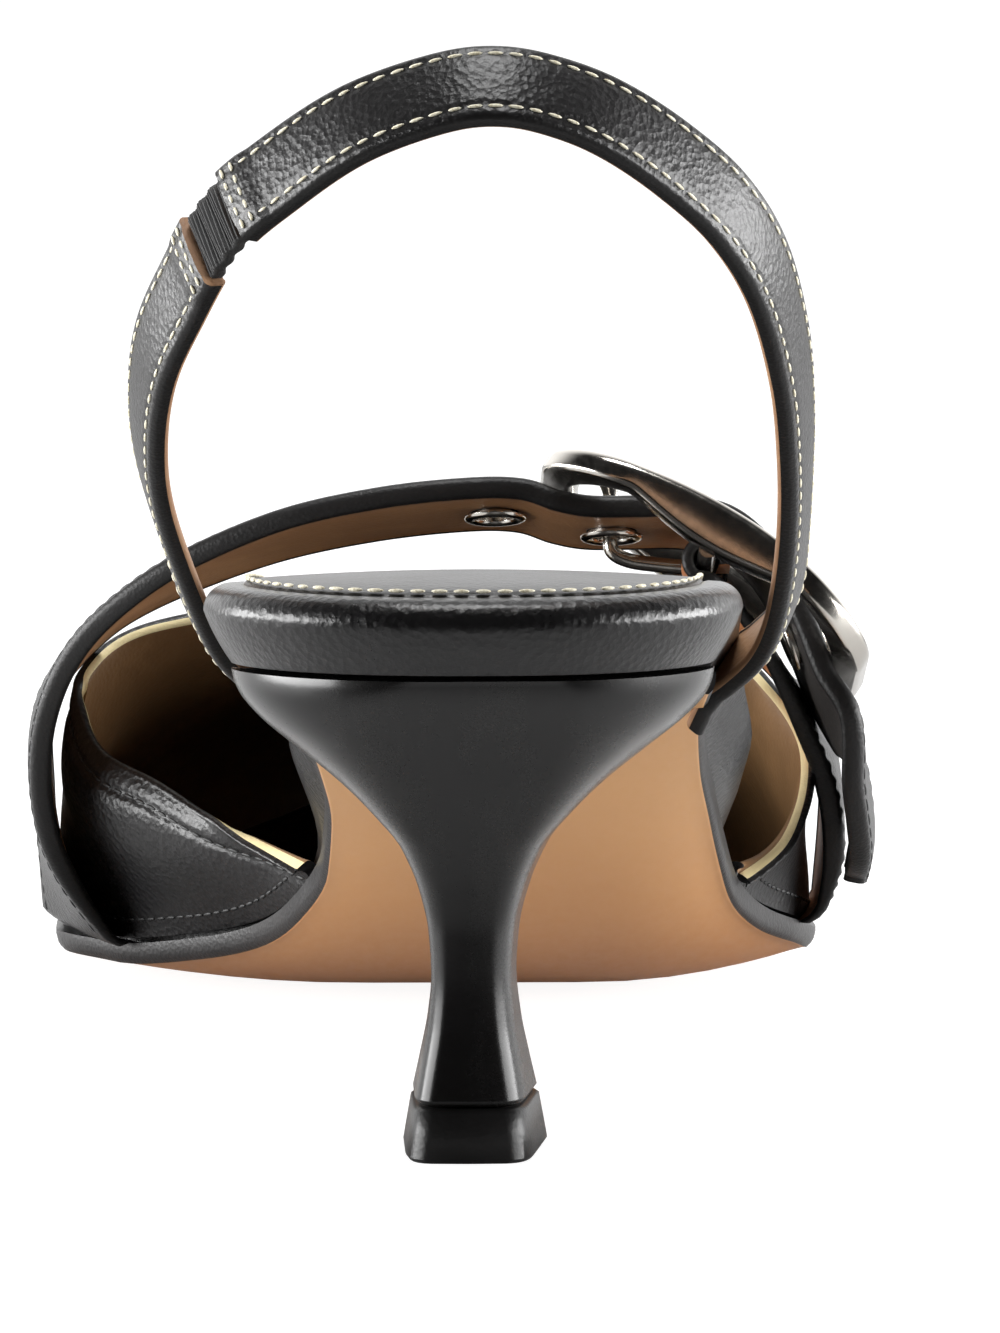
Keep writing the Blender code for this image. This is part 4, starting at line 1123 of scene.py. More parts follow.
@dataclass(frozen=True)
class SoleLook:
    """Tan sole leather, with painted shade that darkens it towards the toe, near the floor."""

    light: Colour = linear(214, 164, 112)
    # dark is the sole's colour under the painted shade towards the toe.
    dark: Colour = linear(170, 112, 64)
    painted_shade_span: tuple[float, float] = (0.045, 0.125)
    roughness: float = 0.42
    grain: Triple = (1.0, 0.25, 1.0)

    def dress(self) -> bpy.types.Material:
        """Make the material.

        Returns:
            The material.
        """
        graph = ShaderGraph("sole_tan")
        _, y, _ = graph.spot()
        fibres = graph.noise(900.0, 3.0, 0.6, self.grain)
        broad = graph.noise(45.0, 3.0)
        # Painted shade darkens the sole towards the toe, where it nears the floor; the broad noise adds
        # random tone.
        painted_shade_and_tone = y.step(*self.painted_shade_span) * 0.85 + (broad - 0.5) * 0.3
        graph.feed("Base Color", graph.blend(painted_shade_and_tone, self.light, self.dark))
        graph.feed("Roughness", self.roughness + (fibres - 0.5) * 0.2)
        graph.fix(coat_weight=0.1, coat_roughness=0.3)
        graph.relief(fibres + broad * 0.5, 0.3, 0.00005)
        return graph.material


@dataclass(frozen=True)
class LacquerLook:
    """Black heel lacquer, with upright streaks and less coat near the floor."""

    colour: Colour = (0.004, 0.0037, 0.0037)
    streak: Colour = (0.008, 0.0074, 0.0072)
    stretch: Triple = (1.0, 1.0, 0.16)
    roughness: float = 0.26
    coat: float = 0.45
    coat_heights: tuple[float, float] = (0.012, 0.042)

    def dress(self) -> bpy.types.Material:
        """Make the material.

        Returns:
            The material.
        """
        graph = ShaderGraph("heel_black")
        streaks = graph.noise(160.0, 4.0, 0.6, self.stretch)
        fine = graph.noise(2600.0, 2.0, 0.6)
        _, _, height = graph.spot()
        graph.feed("Base Color", graph.blend(streaks.step(0.45, 0.7), self.colour, self.streak))
        graph.feed("Roughness", self.roughness + (streaks - 0.5) * 0.14 + (fine - 0.5) * 0.08)
        graph.feed("Coat Weight", height.step(*self.coat_heights) * self.coat)
        graph.fix(coat_roughness=0.2, specular_ior_level=0.22)
        graph.relief(fine * 0.5 + streaks * 0.8, 0.35, 0.00004)
        return graph.material


@dataclass(frozen=True)
class MetalLook:
    """Warm nickel with faint brushing."""

    colour: Colour = (0.52, 0.49, 0.45)
    bright: Colour = (0.66, 0.63, 0.58)
    brush: Triple = (1.0, 0.3, 1.0)
    roughness: float = 0.17

    def dress(self) -> bpy.types.Material:
        """Make the material.

        Returns:
            The material.
        """
        graph = ShaderGraph("nickel_warm")
        fine = graph.noise(1500.0, stretch=self.brush)
        broad = graph.noise(120.0)
        graph.feed("Base Color", graph.blend(broad.step(0.35, 0.7), self.colour, self.bright))
        graph.feed("Roughness", self.roughness + (fine - 0.5) * 0.12 + (broad - 0.5) * 0.08)
        graph.fix(metallic=1.0)
        graph.relief(fine + broad, 0.12, 0.00004)
        return graph.material


@dataclass(frozen=True)
class ThreadLook:
    """Spun thread: twist is the count of its turns per metre."""

    name: str
    colour: Colour
    dark: Colour
    twist: float = 3800.0

    def dress(self) -> bpy.types.Material:
        """Make the material.

        Returns:
            The material.
        """
        graph = ShaderGraph(self.name)
        twist = graph.noise(self.twist, 2.0, 0.6)
        graph.feed("Base Color", graph.blend(twist.step(0.4, 0.7), self.colour, self.dark))
        graph.feed("Roughness", 0.55 + (twist - 0.5) * 0.2)
        graph.relief(twist, 0.4, 0.00008)
        return graph.material


@dataclass(frozen=True)
class ElasticLook:
    """Black woven elastic."""

    colour: Colour = (0.006, 0.006, 0.006)
    bright: Colour = (0.022, 0.021, 0.021)
    roughness: float = 0.62

    def dress(self) -> bpy.types.Material:
        """Make the material.

        Returns:
            The material.
        """
        graph = ShaderGraph("elastic_black")
        weave = graph.noise(5200.0, 2.0, 0.6)
        broad = graph.noise(400.0)
        graph.feed("Base Color", graph.blend(weave.step(0.4, 0.7), self.colour, self.bright))
        graph.feed("Roughness", self.roughness + (broad - 0.5) * 0.2)
        graph.relief(weave + broad, 0.5, 0.00008)
        return graph.material


class Looks:
    """All materials of the shoe, each made once."""

    # Painted shade: the belt's lining goes dark beyond the buckle, where it lies in shadow.
    belt_painted_shade = (0.735 * BELT.length, 0.775 * BELT.length)

    def __init__(self) -> None:
        """Make every material."""
        calf = (0.0060, 0.0056, 0.0058), (0.010, 0.0092, 0.0095)
        rand = (0.0055, 0.0052, 0.0055), (0.010, 0.0094, 0.0098)
        edge = (0.0060, 0.0055, 0.0055), (0.009, 0.008, 0.008)
        sock = (0.0075, 0.0070, 0.0070), (0.015, 0.0138, 0.0138)
        brown = linear(124, 92, 58), linear(146, 110, 72)
        tan = linear(150, 112, 82), linear(172, 134, 100)
        rust = linear(150, 92, 52), linear(180, 112, 66)
        belt = linear(136, 96, 62), linear(156, 114, 76)
        cream = linear(238, 222, 172), linear(222, 200, 146)
        painted = (0.010, 0.009, 0.009), (0.018, 0.016, 0.016)
        tip = (0.0065, 0.0062, 0.0062), (0.011, 0.0105, 0.0105)
        self.leather = LeatherLook("calf_black", *calf, 0.36, 1450.0, 0.00014, 0.06, 0.36).dress()
        self.rand = LeatherLook("rand_black", *rand, 0.30, 1250.0, 0.00013, 0.15, 0.4).dress()
        self.edge = LeatherLook("edge_black", *edge, 0.45, 2600.0, 0.00005, 0.0, 0.3).dress()
        self.lining = LeatherLook("lining_brown", *brown, 0.55, 1700.0, 0.00006).dress()
        self.sock = LeatherLook("sock_black", *sock, 0.40, 1500.0, 0.00009, 0.1).dress()
        self.strap_lining = LeatherLook("lining_tan", *tan, 0.55, 1700.0, 0.00006).dress()
        self.lining_warm = LeatherLook("lining_rust", *rust, 0.5, 1700.0, 0.00006).dress()
        # The belt's lining carries painted shade beyond the buckle.
        fading = LeatherLook("lining_belt", *belt, 0.55, 1700.0, 0.00006, fade=self.belt_painted_shade)
        self.belt_lining = fading.dress()
        self.cream = LeatherLook("cream_edge", *cream, 0.6, 2800.0, 0.00006).dress()
        self.sole = SoleLook().dress()
        self.sole_edge = LeatherLook("sole_edge", *painted, 0.38, 2200.0, 0.00005).dress()
        self.lacquer = LacquerLook().dress()
        self.rubber = LeatherLook("tip_black", *tip, 0.34, 2000.0, 0.00003, 0.0, 0.2).dress()
        self.metal = MetalLook().dress()
        self.thread = ThreadLook("thread_cream", linear(226, 221, 200), linear(188, 178, 148)).dress()
        self.thread_black = ThreadLook("thread_black", (0.006,) * 3, (0.012,) * 3).dress()
        self.elastic = ElasticLook().dress()


def put(name: str, data: bpy.types.ID) -> bpy.types.Object:
    """Make an object of some data and link it to the scene."""
    made = bpy.data.objects.new(name, data)
    bpy.context.scene.collection.objects.link(made)
    return made


def settled(source: bpy.types.Object) -> bpy.types.Mesh:
    """Plain mesh of an object with its modifiers applied."""
    bpy.context.view_layer.update()
    evaluated = source.evaluated_get(bpy.context.evaluated_depsgraph_get())
    return bpy.data.meshes.new_from_object(evaluated)


@dataclass
class MeshMaker:
    """Collects lofted rings and turns them into one object with a strip UV map."""

    name: str
    points: list[Vector] = field(default_factory=list)
    faces: list[tuple[int, ...]] = field(default_factory=list)
    roles: list[int] = field(default_factory=list)
    strips: list[tuple[tuple[float, float], ...]] = field(default_factory=list)

    def loft(
        self,
        rings: Sequence[Sequence[Vector]],
        roles: Sequence[int],
        closed: bool = True,
        caps: bool = True,
        loop: bool = False,
    ) -> None:
        """Join rings of points with quads.

        Args:
            rings: rings of equal length.
            roles: material index of each step round a ring.
            closed: whether each ring closes on itself.
            caps: whether the first and last ring are filled.
            loop: whether the last ring joins the first.
        """
        first = len(self.points)
        size = len(rings[0])
        spans = [0.0]
        for a, b in zip(rings, rings[1:]):
            spans.append(spans[-1] + (b[size // 3] - a[size // 3]).length)
        girth = [0.0]
        middle = rings[len(rings) // 2]
        for k in range(size):
            girth.append(girth[-1] + (middle[(k + 1) % size] - middle[k]).length)
        for ring in rings:
            self.points.extend(ring)
        pairs = [(r, r + 1) for r in range(len(rings) - 1)]
        if loop:
            pairs.append((len(rings) - 1, 0))
            spans.append(spans[-1] + (rings[0][0] - rings[-1][0]).length)
        for a, b in pairs:
            for k in range(size if closed else size - 1):
                n = (k + 1) % size
                corners = (a * size + k, a * size + n, b * size + n, b * size + k)
                self.faces.append(tuple(first + corner for corner in corners))
                self.roles.append(roles[k])
                low, high = spans[a], spans[a + 1]
                self.strips.append(
                    ((low, girth[k]), (low, girth[k + 1]), (high, girth[k + 1]), (high, girth[k]))
                )
        if caps:
            for ring in (0, len(rings) - 1):
                self.faces.append(tuple(first + ring * size + k for k in range(size)))
                self.roles.append(roles[0])
                self.strips.append(tuple((spans[ring], girth[k]) for k in range(size)))

    def build(self, materials: Sequence[bpy.types.Material], sharp: float = 50.0) -> bpy.types.Object:
        """Make the object, with faces pointing out and smooth shading.

        Args:
            materials: materials in the order of the role numbers.
            sharp: angle in degrees above which an edge stays sharp.

        Returns:
            The linked object.
        """
        data = bpy.data.meshes.new(self.name)
        data.from_pydata([tuple(point) for point in self.points], [], self.faces)
        data.polygons.foreach_set("material_index", self.roles)
        layer = data.uv_layers.new(name="strip")
        flat = [value for corners in self.strips for pair in corners for value in pair]
        layer.data.foreach_set("uv", flat)
        bm = bmesh.new()
        bm.from_mesh(data)
        bmesh.ops.remove_doubles(bm, verts=bm.verts, dist=1e-6)
        bmesh.ops.triangulate(bm, faces=[face for face in bm.faces if len(face.verts) > 4])
        bmesh.ops.recalc_face_normals(bm, faces=bm.faces)
        bm.to_mesh(data)
        bm.free()
        data.shade_smooth()
        data.set_sharp_from_angle(angle=math.radians(sharp))
        for look in materials:
            data.materials.append(look)
        LOG.info("%s: %d faces", self.name, len(data.polygons))
        return put(self.name, data)


def adopt(piece: bpy.types.Object, slot: Slot, *nodes: str) -> bpy.types.Object:
    """Tie a finished piece to the frame.

    Args:
        piece: the finished object.
        slot: not used.
        nodes: CAD nodes that it stands for.

    Returns:
        The same object.
    """
    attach(piece, "root")
    if nodes:
        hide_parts(*nodes)
    return piece


class Face(IntEnum):
    """Faces of a strap, in the order of its materials."""

    LINING = 0
    EDGE = 1
    OUTER = 2


@dataclass(frozen=True)
class Spot:
    """A point of a strap's section: across from the rear edge, out from the lining, and its role."""

    across: float
    out: float
    role: int


@dataclass(frozen=True)
class StrapForm:
    """How a strap's section is finished."""

    edge: float = 0.0007
    inset: float = 0.0007
    pillow: float = 0.00016
    groove: float = 0.0
    groove_depth: float = 0.00014
    lined: bool = False


class StrapSection:
    """Section of a strap: lining inset below, rolled edges, and a padded outer face."""

    lining_steps: int = 9
    turn_steps: int = 5
    face_steps: int = 22
    roll: float = 0.00012
    groove_width: float = 0.00035

    def __init__(self, form: StrapForm) -> None:
        """Keep the form."""
        self.form = form

    def spots(self, width: float, thick: float) -> list[Spot]:
        """Points of the section, rear edge first along the lining side.

        Args:
            width: full width at this station.
            thick: thickness from the lining to the outer face.

        Returns:
            The points in order round the section.
        """
        form = self.form
        edge = min(form.edge, 0.48 * thick, 0.4 * width)
        inset = min(form.inset, 0.4 * width)
        steps, turn, face = self.lining_steps, self.turn_steps, self.face_steps
        turns = [k / turn * math.pi / 2.0 for k in range(turn + 1)]
        under = Face.LINING if form.lined else Face.EDGE
        spots = []
        for k in range(steps + 1):
            across = inset + (width - 2.0 * inset) * k / steps
            spots.append(Spot(across, 0.0, Face.LINING if k < steps else Face.EDGE))
        for angle in turns:
            out = edge - edge * math.cos(angle) - self.roll
            spots.append(Spot(width - edge + edge * math.sin(angle), out, under))
        for k, angle in enumerate(turns[1:], 1):
            role = Face.EDGE if k < 3 else Face.OUTER
            out = thick - edge + edge * math.sin(angle)
            spots.append(Spot(width - edge + edge * math.cos(angle), out, role))
        for k in range(1, face):
            across = (width - edge) + (2.0 * edge - width) * k / face
            out = thick + form.pillow * (1.0 - (2.0 * across / width - 1.0) ** 2)
            if form.groove:
                for line in (form.groove, width - form.groove):
                    out -= form.groove_depth * math.exp(-(((across - line) / self.groove_width) ** 2))
            spots.append(Spot(across, out, Face.OUTER))
        for k, angle in enumerate(turns):
            role = Face.OUTER if k < 2 else Face.EDGE
            out = thick - edge + edge * math.cos(angle)
            spots.append(Spot(edge - edge * math.sin(angle), out, role))
        for angle in turns[1:]:
            out = edge - edge * math.sin(angle) - self.roll
            spots.append(Spot(edge - edge * math.cos(angle), out, under))
        return spots


Dent = Callable[[float, float, int], float]


def flat(_along: float, _across: float, _role: int) -> float:
    """No dent anywhere."""
    return 0.0


class StrapMaker:
    """Builds a fine strap along a band."""

    def __init__(self, band: Band, form: StrapForm, looks: Sequence[bpy.types.Material]) -> None:
        """Keep the band, its section and the looks of lining, edge and outer face."""
        self.band = band
        self.section = StrapSection(form)
        self.looks = looks

    def make(
        self,
        name: str,
        shares: Sequence[float],
        narrow: Callable[[float], float] = lambda share: 1.0,
        thick: Optional[Callable[[float], float]] = None,
        dent: Dent = flat,
        lead: Sequence[Vector] = (),
        trail: Sequence[Vector] = (),
    ) -> bpy.types.Object:
        """Loft the strap through shares of the band's length.

        Args:
            name: object name.
            shares: stations along the band.
            narrow: share of the full width at a station.
            thick: thickness at a station, or the band's own.
            dent: outward offset at a distance along, a place across and a role.
            lead: shifts of tucked-in rings before the first one, nearest first.
            trail: the same after the last ring.

        Returns:
            The strap.
        """
        maker = MeshMaker(name)
        rings = []
        roles: list[int] = []
        for share in shares:
            edge, way, normal = self.band.frame(share)
            part = narrow(share)
            width = self.band.width * part
            start = 0.5 * (self.band.width - width)
            depth = thick(share) if thick else self.band.thickness
            spots = self.section.spots(width, depth)
            roles = [spot.role for spot in spots]
            ring = []
            for spot in spots:
                out = spot.out + dent(share * self.band.length, spot.across + start, spot.role)
                ring.append(edge + way * (start + spot.across) + normal * out)
            rings.append(ring)
        first, final = rings[0], rings[-1]
        for shift in lead:
            rings.insert(0, [point + shift for point in first])
        for shift in trail:
            rings.append([point + shift for point in final])
        maker.loft(rings, roles)
        return maker.build(self.looks)


Tuck = tuple[Triple, ...]


def shifts(tuck: Tuck) -> list[Vector]:
    """Shifts of tucked-in rings from their plain numbers."""
    return [Vector(step) for step in tuck]


def evenly(start: float, end: float, count: int) -> list[float]:
    """Numbers from start to end, both included."""
    return [start + (end - start) * k / count for k in range(count + 1)]


@dataclass(frozen=True)
class Stitch:
    """Size of one stitch and the distance to the next."""

    pitch: float
    length: float
    width: float
    height: float


@dataclass(frozen=True)
class Seam:
    """A row of stitches: its path, the way out of the leather at each point, and its stitch."""

    name: str
    path: Sequence[Vector]
    out: Sequence[Vector]
    stitch: Stitch


class StitchMaker:
    """Lays stitches along seams with one geometry node group."""

    def __init__(self) -> None:
        """Make the group once."""
        self.group = self._group()

    def _group(self) -> bpy.types.NodeTree:
        """Make the group that lays one thread bead per pitch along a path.

        Returns:
            The group.
        """
        tree = bpy.data.node_groups.new("stitch_row", "GeometryNodeTree")
        face = tree.interface
        face.new_socket("Geometry", in_out="INPUT", socket_type="NodeSocketGeometry")
        for name in ("Pitch", "Length", "Width", "Height"):
            face.new_socket(name, in_out="INPUT", socket_type="NodeSocketFloat")
        face.new_socket("Thread", in_out="INPUT", socket_type="NodeSocketMaterial")
        face.new_socket("Geometry", in_out="OUTPUT", socket_type="NodeSocketGeometry")
        source = add_node(tree, "NodeGroupInput").outputs
        curve = add_node(tree, "GeometryNodeMeshToCurve", {"Mesh": source["Geometry"]})
        spacing = {"Curve": curve.outputs["Curve"], "Length": source["Pitch"]}
        spaced = add_node(tree, "GeometryNodeResampleCurve", spacing, mode="LENGTH")
        bead = {"Segments": 8, "Rings": 7, "Radius": 0.5}
        ball = add_node(tree, "GeometryNodeMeshUVSphere", bead)
        way = {"Vector": add_node(tree, "GeometryNodeInputTangent").outputs[0]}
        along = add_node(tree, "FunctionNodeAlignRotationToVector", way, axis="X")
        named = {"Name": "outward"}
        outward = add_node(tree, "GeometryNodeInputNamedAttribute", named, data_type="FLOAT_VECTOR")
        way = {"Rotation": along.outputs[0], "Vector": outward.outputs["Attribute"]}
        upright = add_node(tree, "FunctionNodeAlignRotationToVector", way, axis="Z", pivot_axis="X")
        spread = {"Min": 0.9, "Max": 1.08, "Seed": 7}
        sway = add_node(tree, "FunctionNodeRandomValue", spread, data_type="FLOAT")
        chance = [socket for socket in sway.outputs if socket.enabled][0]
        product = {0: source["Length"], 1: chance}
        longer = add_node(tree, "ShaderNodeMath", product, operation="MULTIPLY")
        sizes = {"X": longer.outputs[0], "Y": source["Width"], "Z": source["Height"]}
        places = {
            "Points": spaced.outputs["Curve"],
            "Instance": ball.outputs["Mesh"],
            "Rotation": upright.outputs[0],
            "Scale": add_node(tree, "ShaderNodeCombineXYZ", sizes).outputs[0],
        }
        placed = add_node(tree, "GeometryNodeInstanceOnPoints", places)
        real = add_node(tree, "GeometryNodeRealizeInstances", {0: placed.outputs[0]})
        smooth = add_node(tree, "GeometryNodeSetShadeSmooth", {0: real.outputs[0]})
        dress = {"Geometry": smooth.outputs[0], "Material": source["Thread"]}
        dressed = add_node(tree, "GeometryNodeSetMaterial", dress)
        add_node(tree, "NodeGroupOutput", {0: dressed.outputs[0]})
        return tree

    def sew(self, seam: Seam, thread: bpy.types.Material) -> bpy.types.Object:
        """Lay one row of stitches.

        Args:
            seam: the row's path and stitch size.
            thread: material of the thread.

        Returns:
            A plain mesh object with every stitch.
        """
        data = bpy.data.meshes.new(seam.name + "_path")
        edges = [(k, k + 1) for k in range(len(seam.path) - 1)]
        data.from_pydata([tuple(point) for point in seam.path], edges, [])
        attribute = data.attributes.new("outward", "FLOAT_VECTOR", "POINT")
        attribute.data.foreach_set("vector", [value for way in seam.out for value in way])
        guide = put(seam.name + "_path", data)
        row = guide.modifiers.new("stitches", "NODES")
        row.node_group = self.group
        inputs = [item for item in self.group.interface.items_tree if item.in_out == "INPUT"]
        names = {item.name: item.identifier for item in inputs}
        for name in ("Pitch", "Length", "Width", "Height"):
            row[names[name]] = getattr(seam.stitch, name.lower())
        row[names["Thread"]] = thread
        mesh = settled(guide)
        mesh.name = seam.name
        if not mesh.materials:
            mesh.materials.append(thread)
        bpy.data.objects.remove(guide, do_unlink=True)
        LOG.info("%s: %d faces", seam.name, len(mesh.polygons))
        return put(seam.name, mesh)


def denser(
    start: float, end: float, count: int, round_start: float, round_end: float, turn: int = 16
) -> list[float]:
    """Places from start to end, close together where an end is round.

    Args:
        start: first place.
        end: last place.
        count: number of places on the straight part.
        round_start: reach of the round start, or 0.
        round_end: reach of the round end, or 0.
        turn: number of places on a round end.

    Returns:
        The places, rising.
    """
    bends = [1.0 - math.cos((k + ROUND_OFFSET) / turn * math.pi / 2.0) for k in range(turn)]
    first, final = start + round_start, end - round_end
    places = [start + round_start * bend for bend in bends] if round_start else []
    places += [first + (final - first) * k / (count - 1) for k in range(count)]
    return places + ([end - round_end * bend for bend in reversed(bends)] if round_end else [])


def carve(target: bpy.types.Object, cutters: Sequence[bpy.types.Object]) -> None:
    """Cut shapes out of a piece and leave it a plain mesh.

    Args:
        target: the piece.
        cutters: shapes to take out, removed afterwards.
    """
    for cutter in cutters:
        cut = target.modifiers.new("cut", "BOOLEAN")
        cut.operation = "DIFFERENCE"
        cut.solver = "EXACT"
        cut.use_self = True
        cut.object = cutter
    mesh = settled(target)
    target.modifiers.clear()
    target.data = mesh
    for cutter in cutters:
        bpy.data.objects.remove(cutter, do_unlink=True)


def turned(
    name: str, outline: Sequence[tuple[float, float]], centre: Vector, axis: Vector, sides: int
) -> MeshMaker:
    """Profile of radius and height turned round an axis.

    Args:
        name: object name.
        outline: radius and height of each point, as a closed profile.
        centre: foot of the axis.
        axis: direction of the height.
        sides: number of steps round.

    Returns:
        A maker that holds the ring.
    """
    turn = axis.to_track_quat("Z", "Y").to_matrix()
    rings = []
    for k in range(sides):
        angle = 2.0 * math.pi * k / sides
        spoke = Vector((math.cos(angle), math.sin(angle), 0.0))
        rings.append([centre + turn @ (spoke * r + Vector((0.0, 0.0, h))) for r, h in outline])
    maker = MeshMaker(name)
    maker.loft(rings, [0] * len(outline), caps=False, loop=True)
    return maker


def rod(name: str, centre: Vector, axis: Vector, radius: float, length: float, sides: int) -> MeshMaker:
    """Round bar.

    Args:
        name: object name.
        centre: middle of the bar.
        axis: direction of its length.
        radius: its radius.
        length: its full length.
        sides: number of steps round.

    Returns:
        A maker that holds the bar.
    """
    turn = axis.to_track_quat("Z", "Y").to_matrix()
    rings = []
    for height in (-0.5 * length, 0.5 * length):
        ring = []
        for k in range(sides):
            angle = 2.0 * math.pi * k / sides
            spoke = Vector((radius * math.cos(angle), radius * math.sin(angle), height))
            ring.append(centre + turn @ spoke)
        rings.append(ring)
    maker = MeshMaker(name)
    maker.loft(rings, [0] * sides)
    return maker


@dataclass
class Tread:
    """Leather sole from the heel breast to the toe, tan underneath with a painted edge."""

    looks: Looks
    rows: int = 96
    ease: float = 0.00045
    under_share: float = 0.988
    edge_share: float = 0.995

    def build(self) -> bpy.types.Object:
        """Make the outsole and tie it to its node.

        Returns:
            The outsole.
        """
        across = [math.sin(math.radians(angle)) for angle in range(-90, 91, 9)]
        rings = []
        for y in denser(SOLE_REAR, LAST.toe + SOLE_LIP, self.rows, 0.0, TOE_ROUND):
            medial, lateral = LAST.edges(min(y, LAST.toe - 0.00002), -SOLE_LIP)
            centre, half = 0.5 * (medial + lateral), 0.5 * (lateral - medial)
            thick = SOLE_THICKNESS / LAST.slant(y)
            top = [Vector((centre + half * u, y, LAST.height(centre + half * u, y))) for u in across]
            inner = half * self.under_share - self.ease
            under = [Vector((centre + inner * u, y, p.z - thick)) for u, p in zip(across, top)]
            lip = (
                (half, -0.25 * thick),
                (half * self.edge_share, -0.6 * thick),
                (half * self.under_share, self.ease - thick),
            )
            right = [Vector((centre + wide, y, top[-1].z + down)) for wide, down in lip]
            left = [Vector((centre - wide, y, top[0].z + down)) for wide, down in reversed(lip)]
            rings.append(top + right + list(reversed(under)) + left)
        size = len(across)
        roles = [1] * (size + 3) + [0] * (size - 1) + [1] * 4
        maker = MeshMaker("sole_piece")
        maker.loft(rings, roles)
        made = maker.build([self.looks.sole, self.looks.sole_edge])
        return adopt(made, Slot.SOLE, "outsole")


class Bed(IntEnum):
    """Faces of the footbed, in the order of its materials."""

    RAND = 0
    SOCK = 1
    BASE = 2


@dataclass
class Footbed:
    """Padded footbed: a leather rand whose edge is rounded all round, and the sock on top."""

    looks: Looks
    stitches: "StitchMaker"
    rows: int = 70
    sock_inset: float = 0.0016
    sock_rise: float = 0.0004
    seam_inset: float = 0.0016
    seat_drop: float = 0.0007
    drop_reach: float = 0.070
    full_crown: float = 0.040
    full_flare: float = 0.030
    thread_rise: float = 0.00022
    turn_steps: int = 34
    bulge: float = 0.34
    wall_steps: int = 8
    corner_steps: int = 12
    cap_steps: int = 14
    seam_reach: float = 0.060
    stitch: Stitch = Stitch(0.0021, 0.0016, 0.00055, 0.0004)

    def side(self, station: float, sign: float) -> tuple[Vector, Vector, float, float]:
        """One place of the feather outline: point, way out, rand height and flare.

        Args:
            station: place along the shoe.
            sign: 1 for the lateral side, -1 for the medial side.

        Returns:
            The point on the sole, the level way out of the outline, the rand's height and flare.
        """
        tuck = LAST.read("tuck", station) * (UPPER_WALL + GAP + FOOTBED_INSET)
        index = 1 if sign > 0.0 else 0
        step = 0.00003
        here = LAST.edges(station, tuck)[index]
        ahead, behind = LAST.edges(station + step, tuck)[index], LAST.edges(station - step, tuck)[index]
        slope = (ahead - behind) / (2.0 * step)
        out = Vector((sign, -sign * slope, 0.0)).normalized()
        along = station - LAST.rear
        if along < 2.0 * step:
            out = Vector((0.0, -1.0, 0.0))
        medial, lateral = LAST.edges(station, tuck)
        narrow = 1.0 if along < SEAT_ROUND else min((lateral - medial) / self.full_flare, 1.0)
        flare = LAST.read("flare", station) * RAND_FLARE * narrow
        tall = LAST.read("rand", station) * RAND_HEIGHT / LAST.slant(station)
        tall -= self.seat_drop * max(1.0 - along / self.drop_reach, 0.0)
        return Vector((here, station, LAST.height(here, station) + GAP)), out, tall, flare

    def profile(self, tall: float, flare: float, reach: float) -> list[tuple[float, float, int]]:
        """Way out, height and role of each level, from the base over the corner to the sock.

        Args:
            tall: height of the rand.
            flare: how far it leans out.
            reach: room to the middle of the footbed.

        Returns:
            The levels.
        """
        corner = min(RAND_CORNER, tall * 0.45)
        edge = flare - corner
        levels = []
        for k in range(self.wall_steps + 1):
            share = k / self.wall_steps
            out = flare * (share + self.bulge * share * (1.0 - share))
            levels.append((out, (tall - corner) * share, Bed.RAND))
        for k in range(1, self.corner_steps + 1):
            turn = math.radians(90.0 * k / self.corner_steps)
            out = flare - corner * (1.0 - math.cos(turn))
            levels.append((out, tall - corner * (1.0 - math.sin(turn)), Bed.RAND))
        levels += [
            (edge - 0.5 * self.sock_inset, tall + 0.00005, Bed.RAND),
            (edge - 0.85 * self.sock_inset, tall - 0.00008, Bed.SOCK),
            (edge - self.sock_inset, tall + 0.6 * self.sock_rise, Bed.SOCK),
            (edge - self.sock_inset - 0.0006, tall + self.sock_rise, Bed.SOCK),
        ]
        return [(max(out, -0.8 * reach), height, role) for out, height, role in levels]

    def ring(self, station: float, sign: float) -> tuple[list[Vector], list[int]]:
        """Points up one side at a station.

        Args:
            station: place along the shoe.
            sign: 1 for the lateral side, -1 for the medial side.

        Returns:
            The points and their roles.
        """
        foot, out, tall, flare = self.side(station, sign)
        medial, lateral = LAST.edges(station)
        reach = max(0.5 * (lateral - medial), 0.5 * SEAT_ROUND if station < 0.0 else 0.0)
        points = []
        roles = []
        for way, height, role in self.profile(tall, flare, reach):
            point = foot + out * way
            point.z += height + LAST.keel(point.y) - LAST.keel(foot.y)
            points.append(point)
            roles.append(role)
        return points, roles

    def build(self) -> list[bpy.types.Object]:
        """Make the footbed and its row of stitches.

        Returns:
            Both pieces.
        """
        end = LAST.toe - 2.1 * (UPPER_WALL + GAP + FOOTBED_INSET)
        places = denser(LAST.rear + 0.00001, end, self.rows, SEAT_ROUND, TOE_ROUND, self.turn_steps)
        outline = [(place, -1.0) for place in reversed(places)] + [(place, 1.0) for place in places]
        sides = [self.ring(*spot) for spot in outline]
        rings = [ring for ring, _ in sides]
        maker = MeshMaker("footbed_piece")
        maker.loft(rings, sides[0][1], closed=False, caps=False)
        half = len(places)
        for k in range(half - 1):
            self.cap(maker, rings[half - 2 - k : half - k][::-1], rings[half + k : half + k + 2])
        bed = maker.build([self.looks.rand, self.looks.sock, self.looks.edge])
        adopt(bed, Slot.LEATHER, "footbed")
        row = self.stitches.sew(self.seam(places), self.looks.thread)
        return [bed, adopt(row, Slot.LEATHER)]

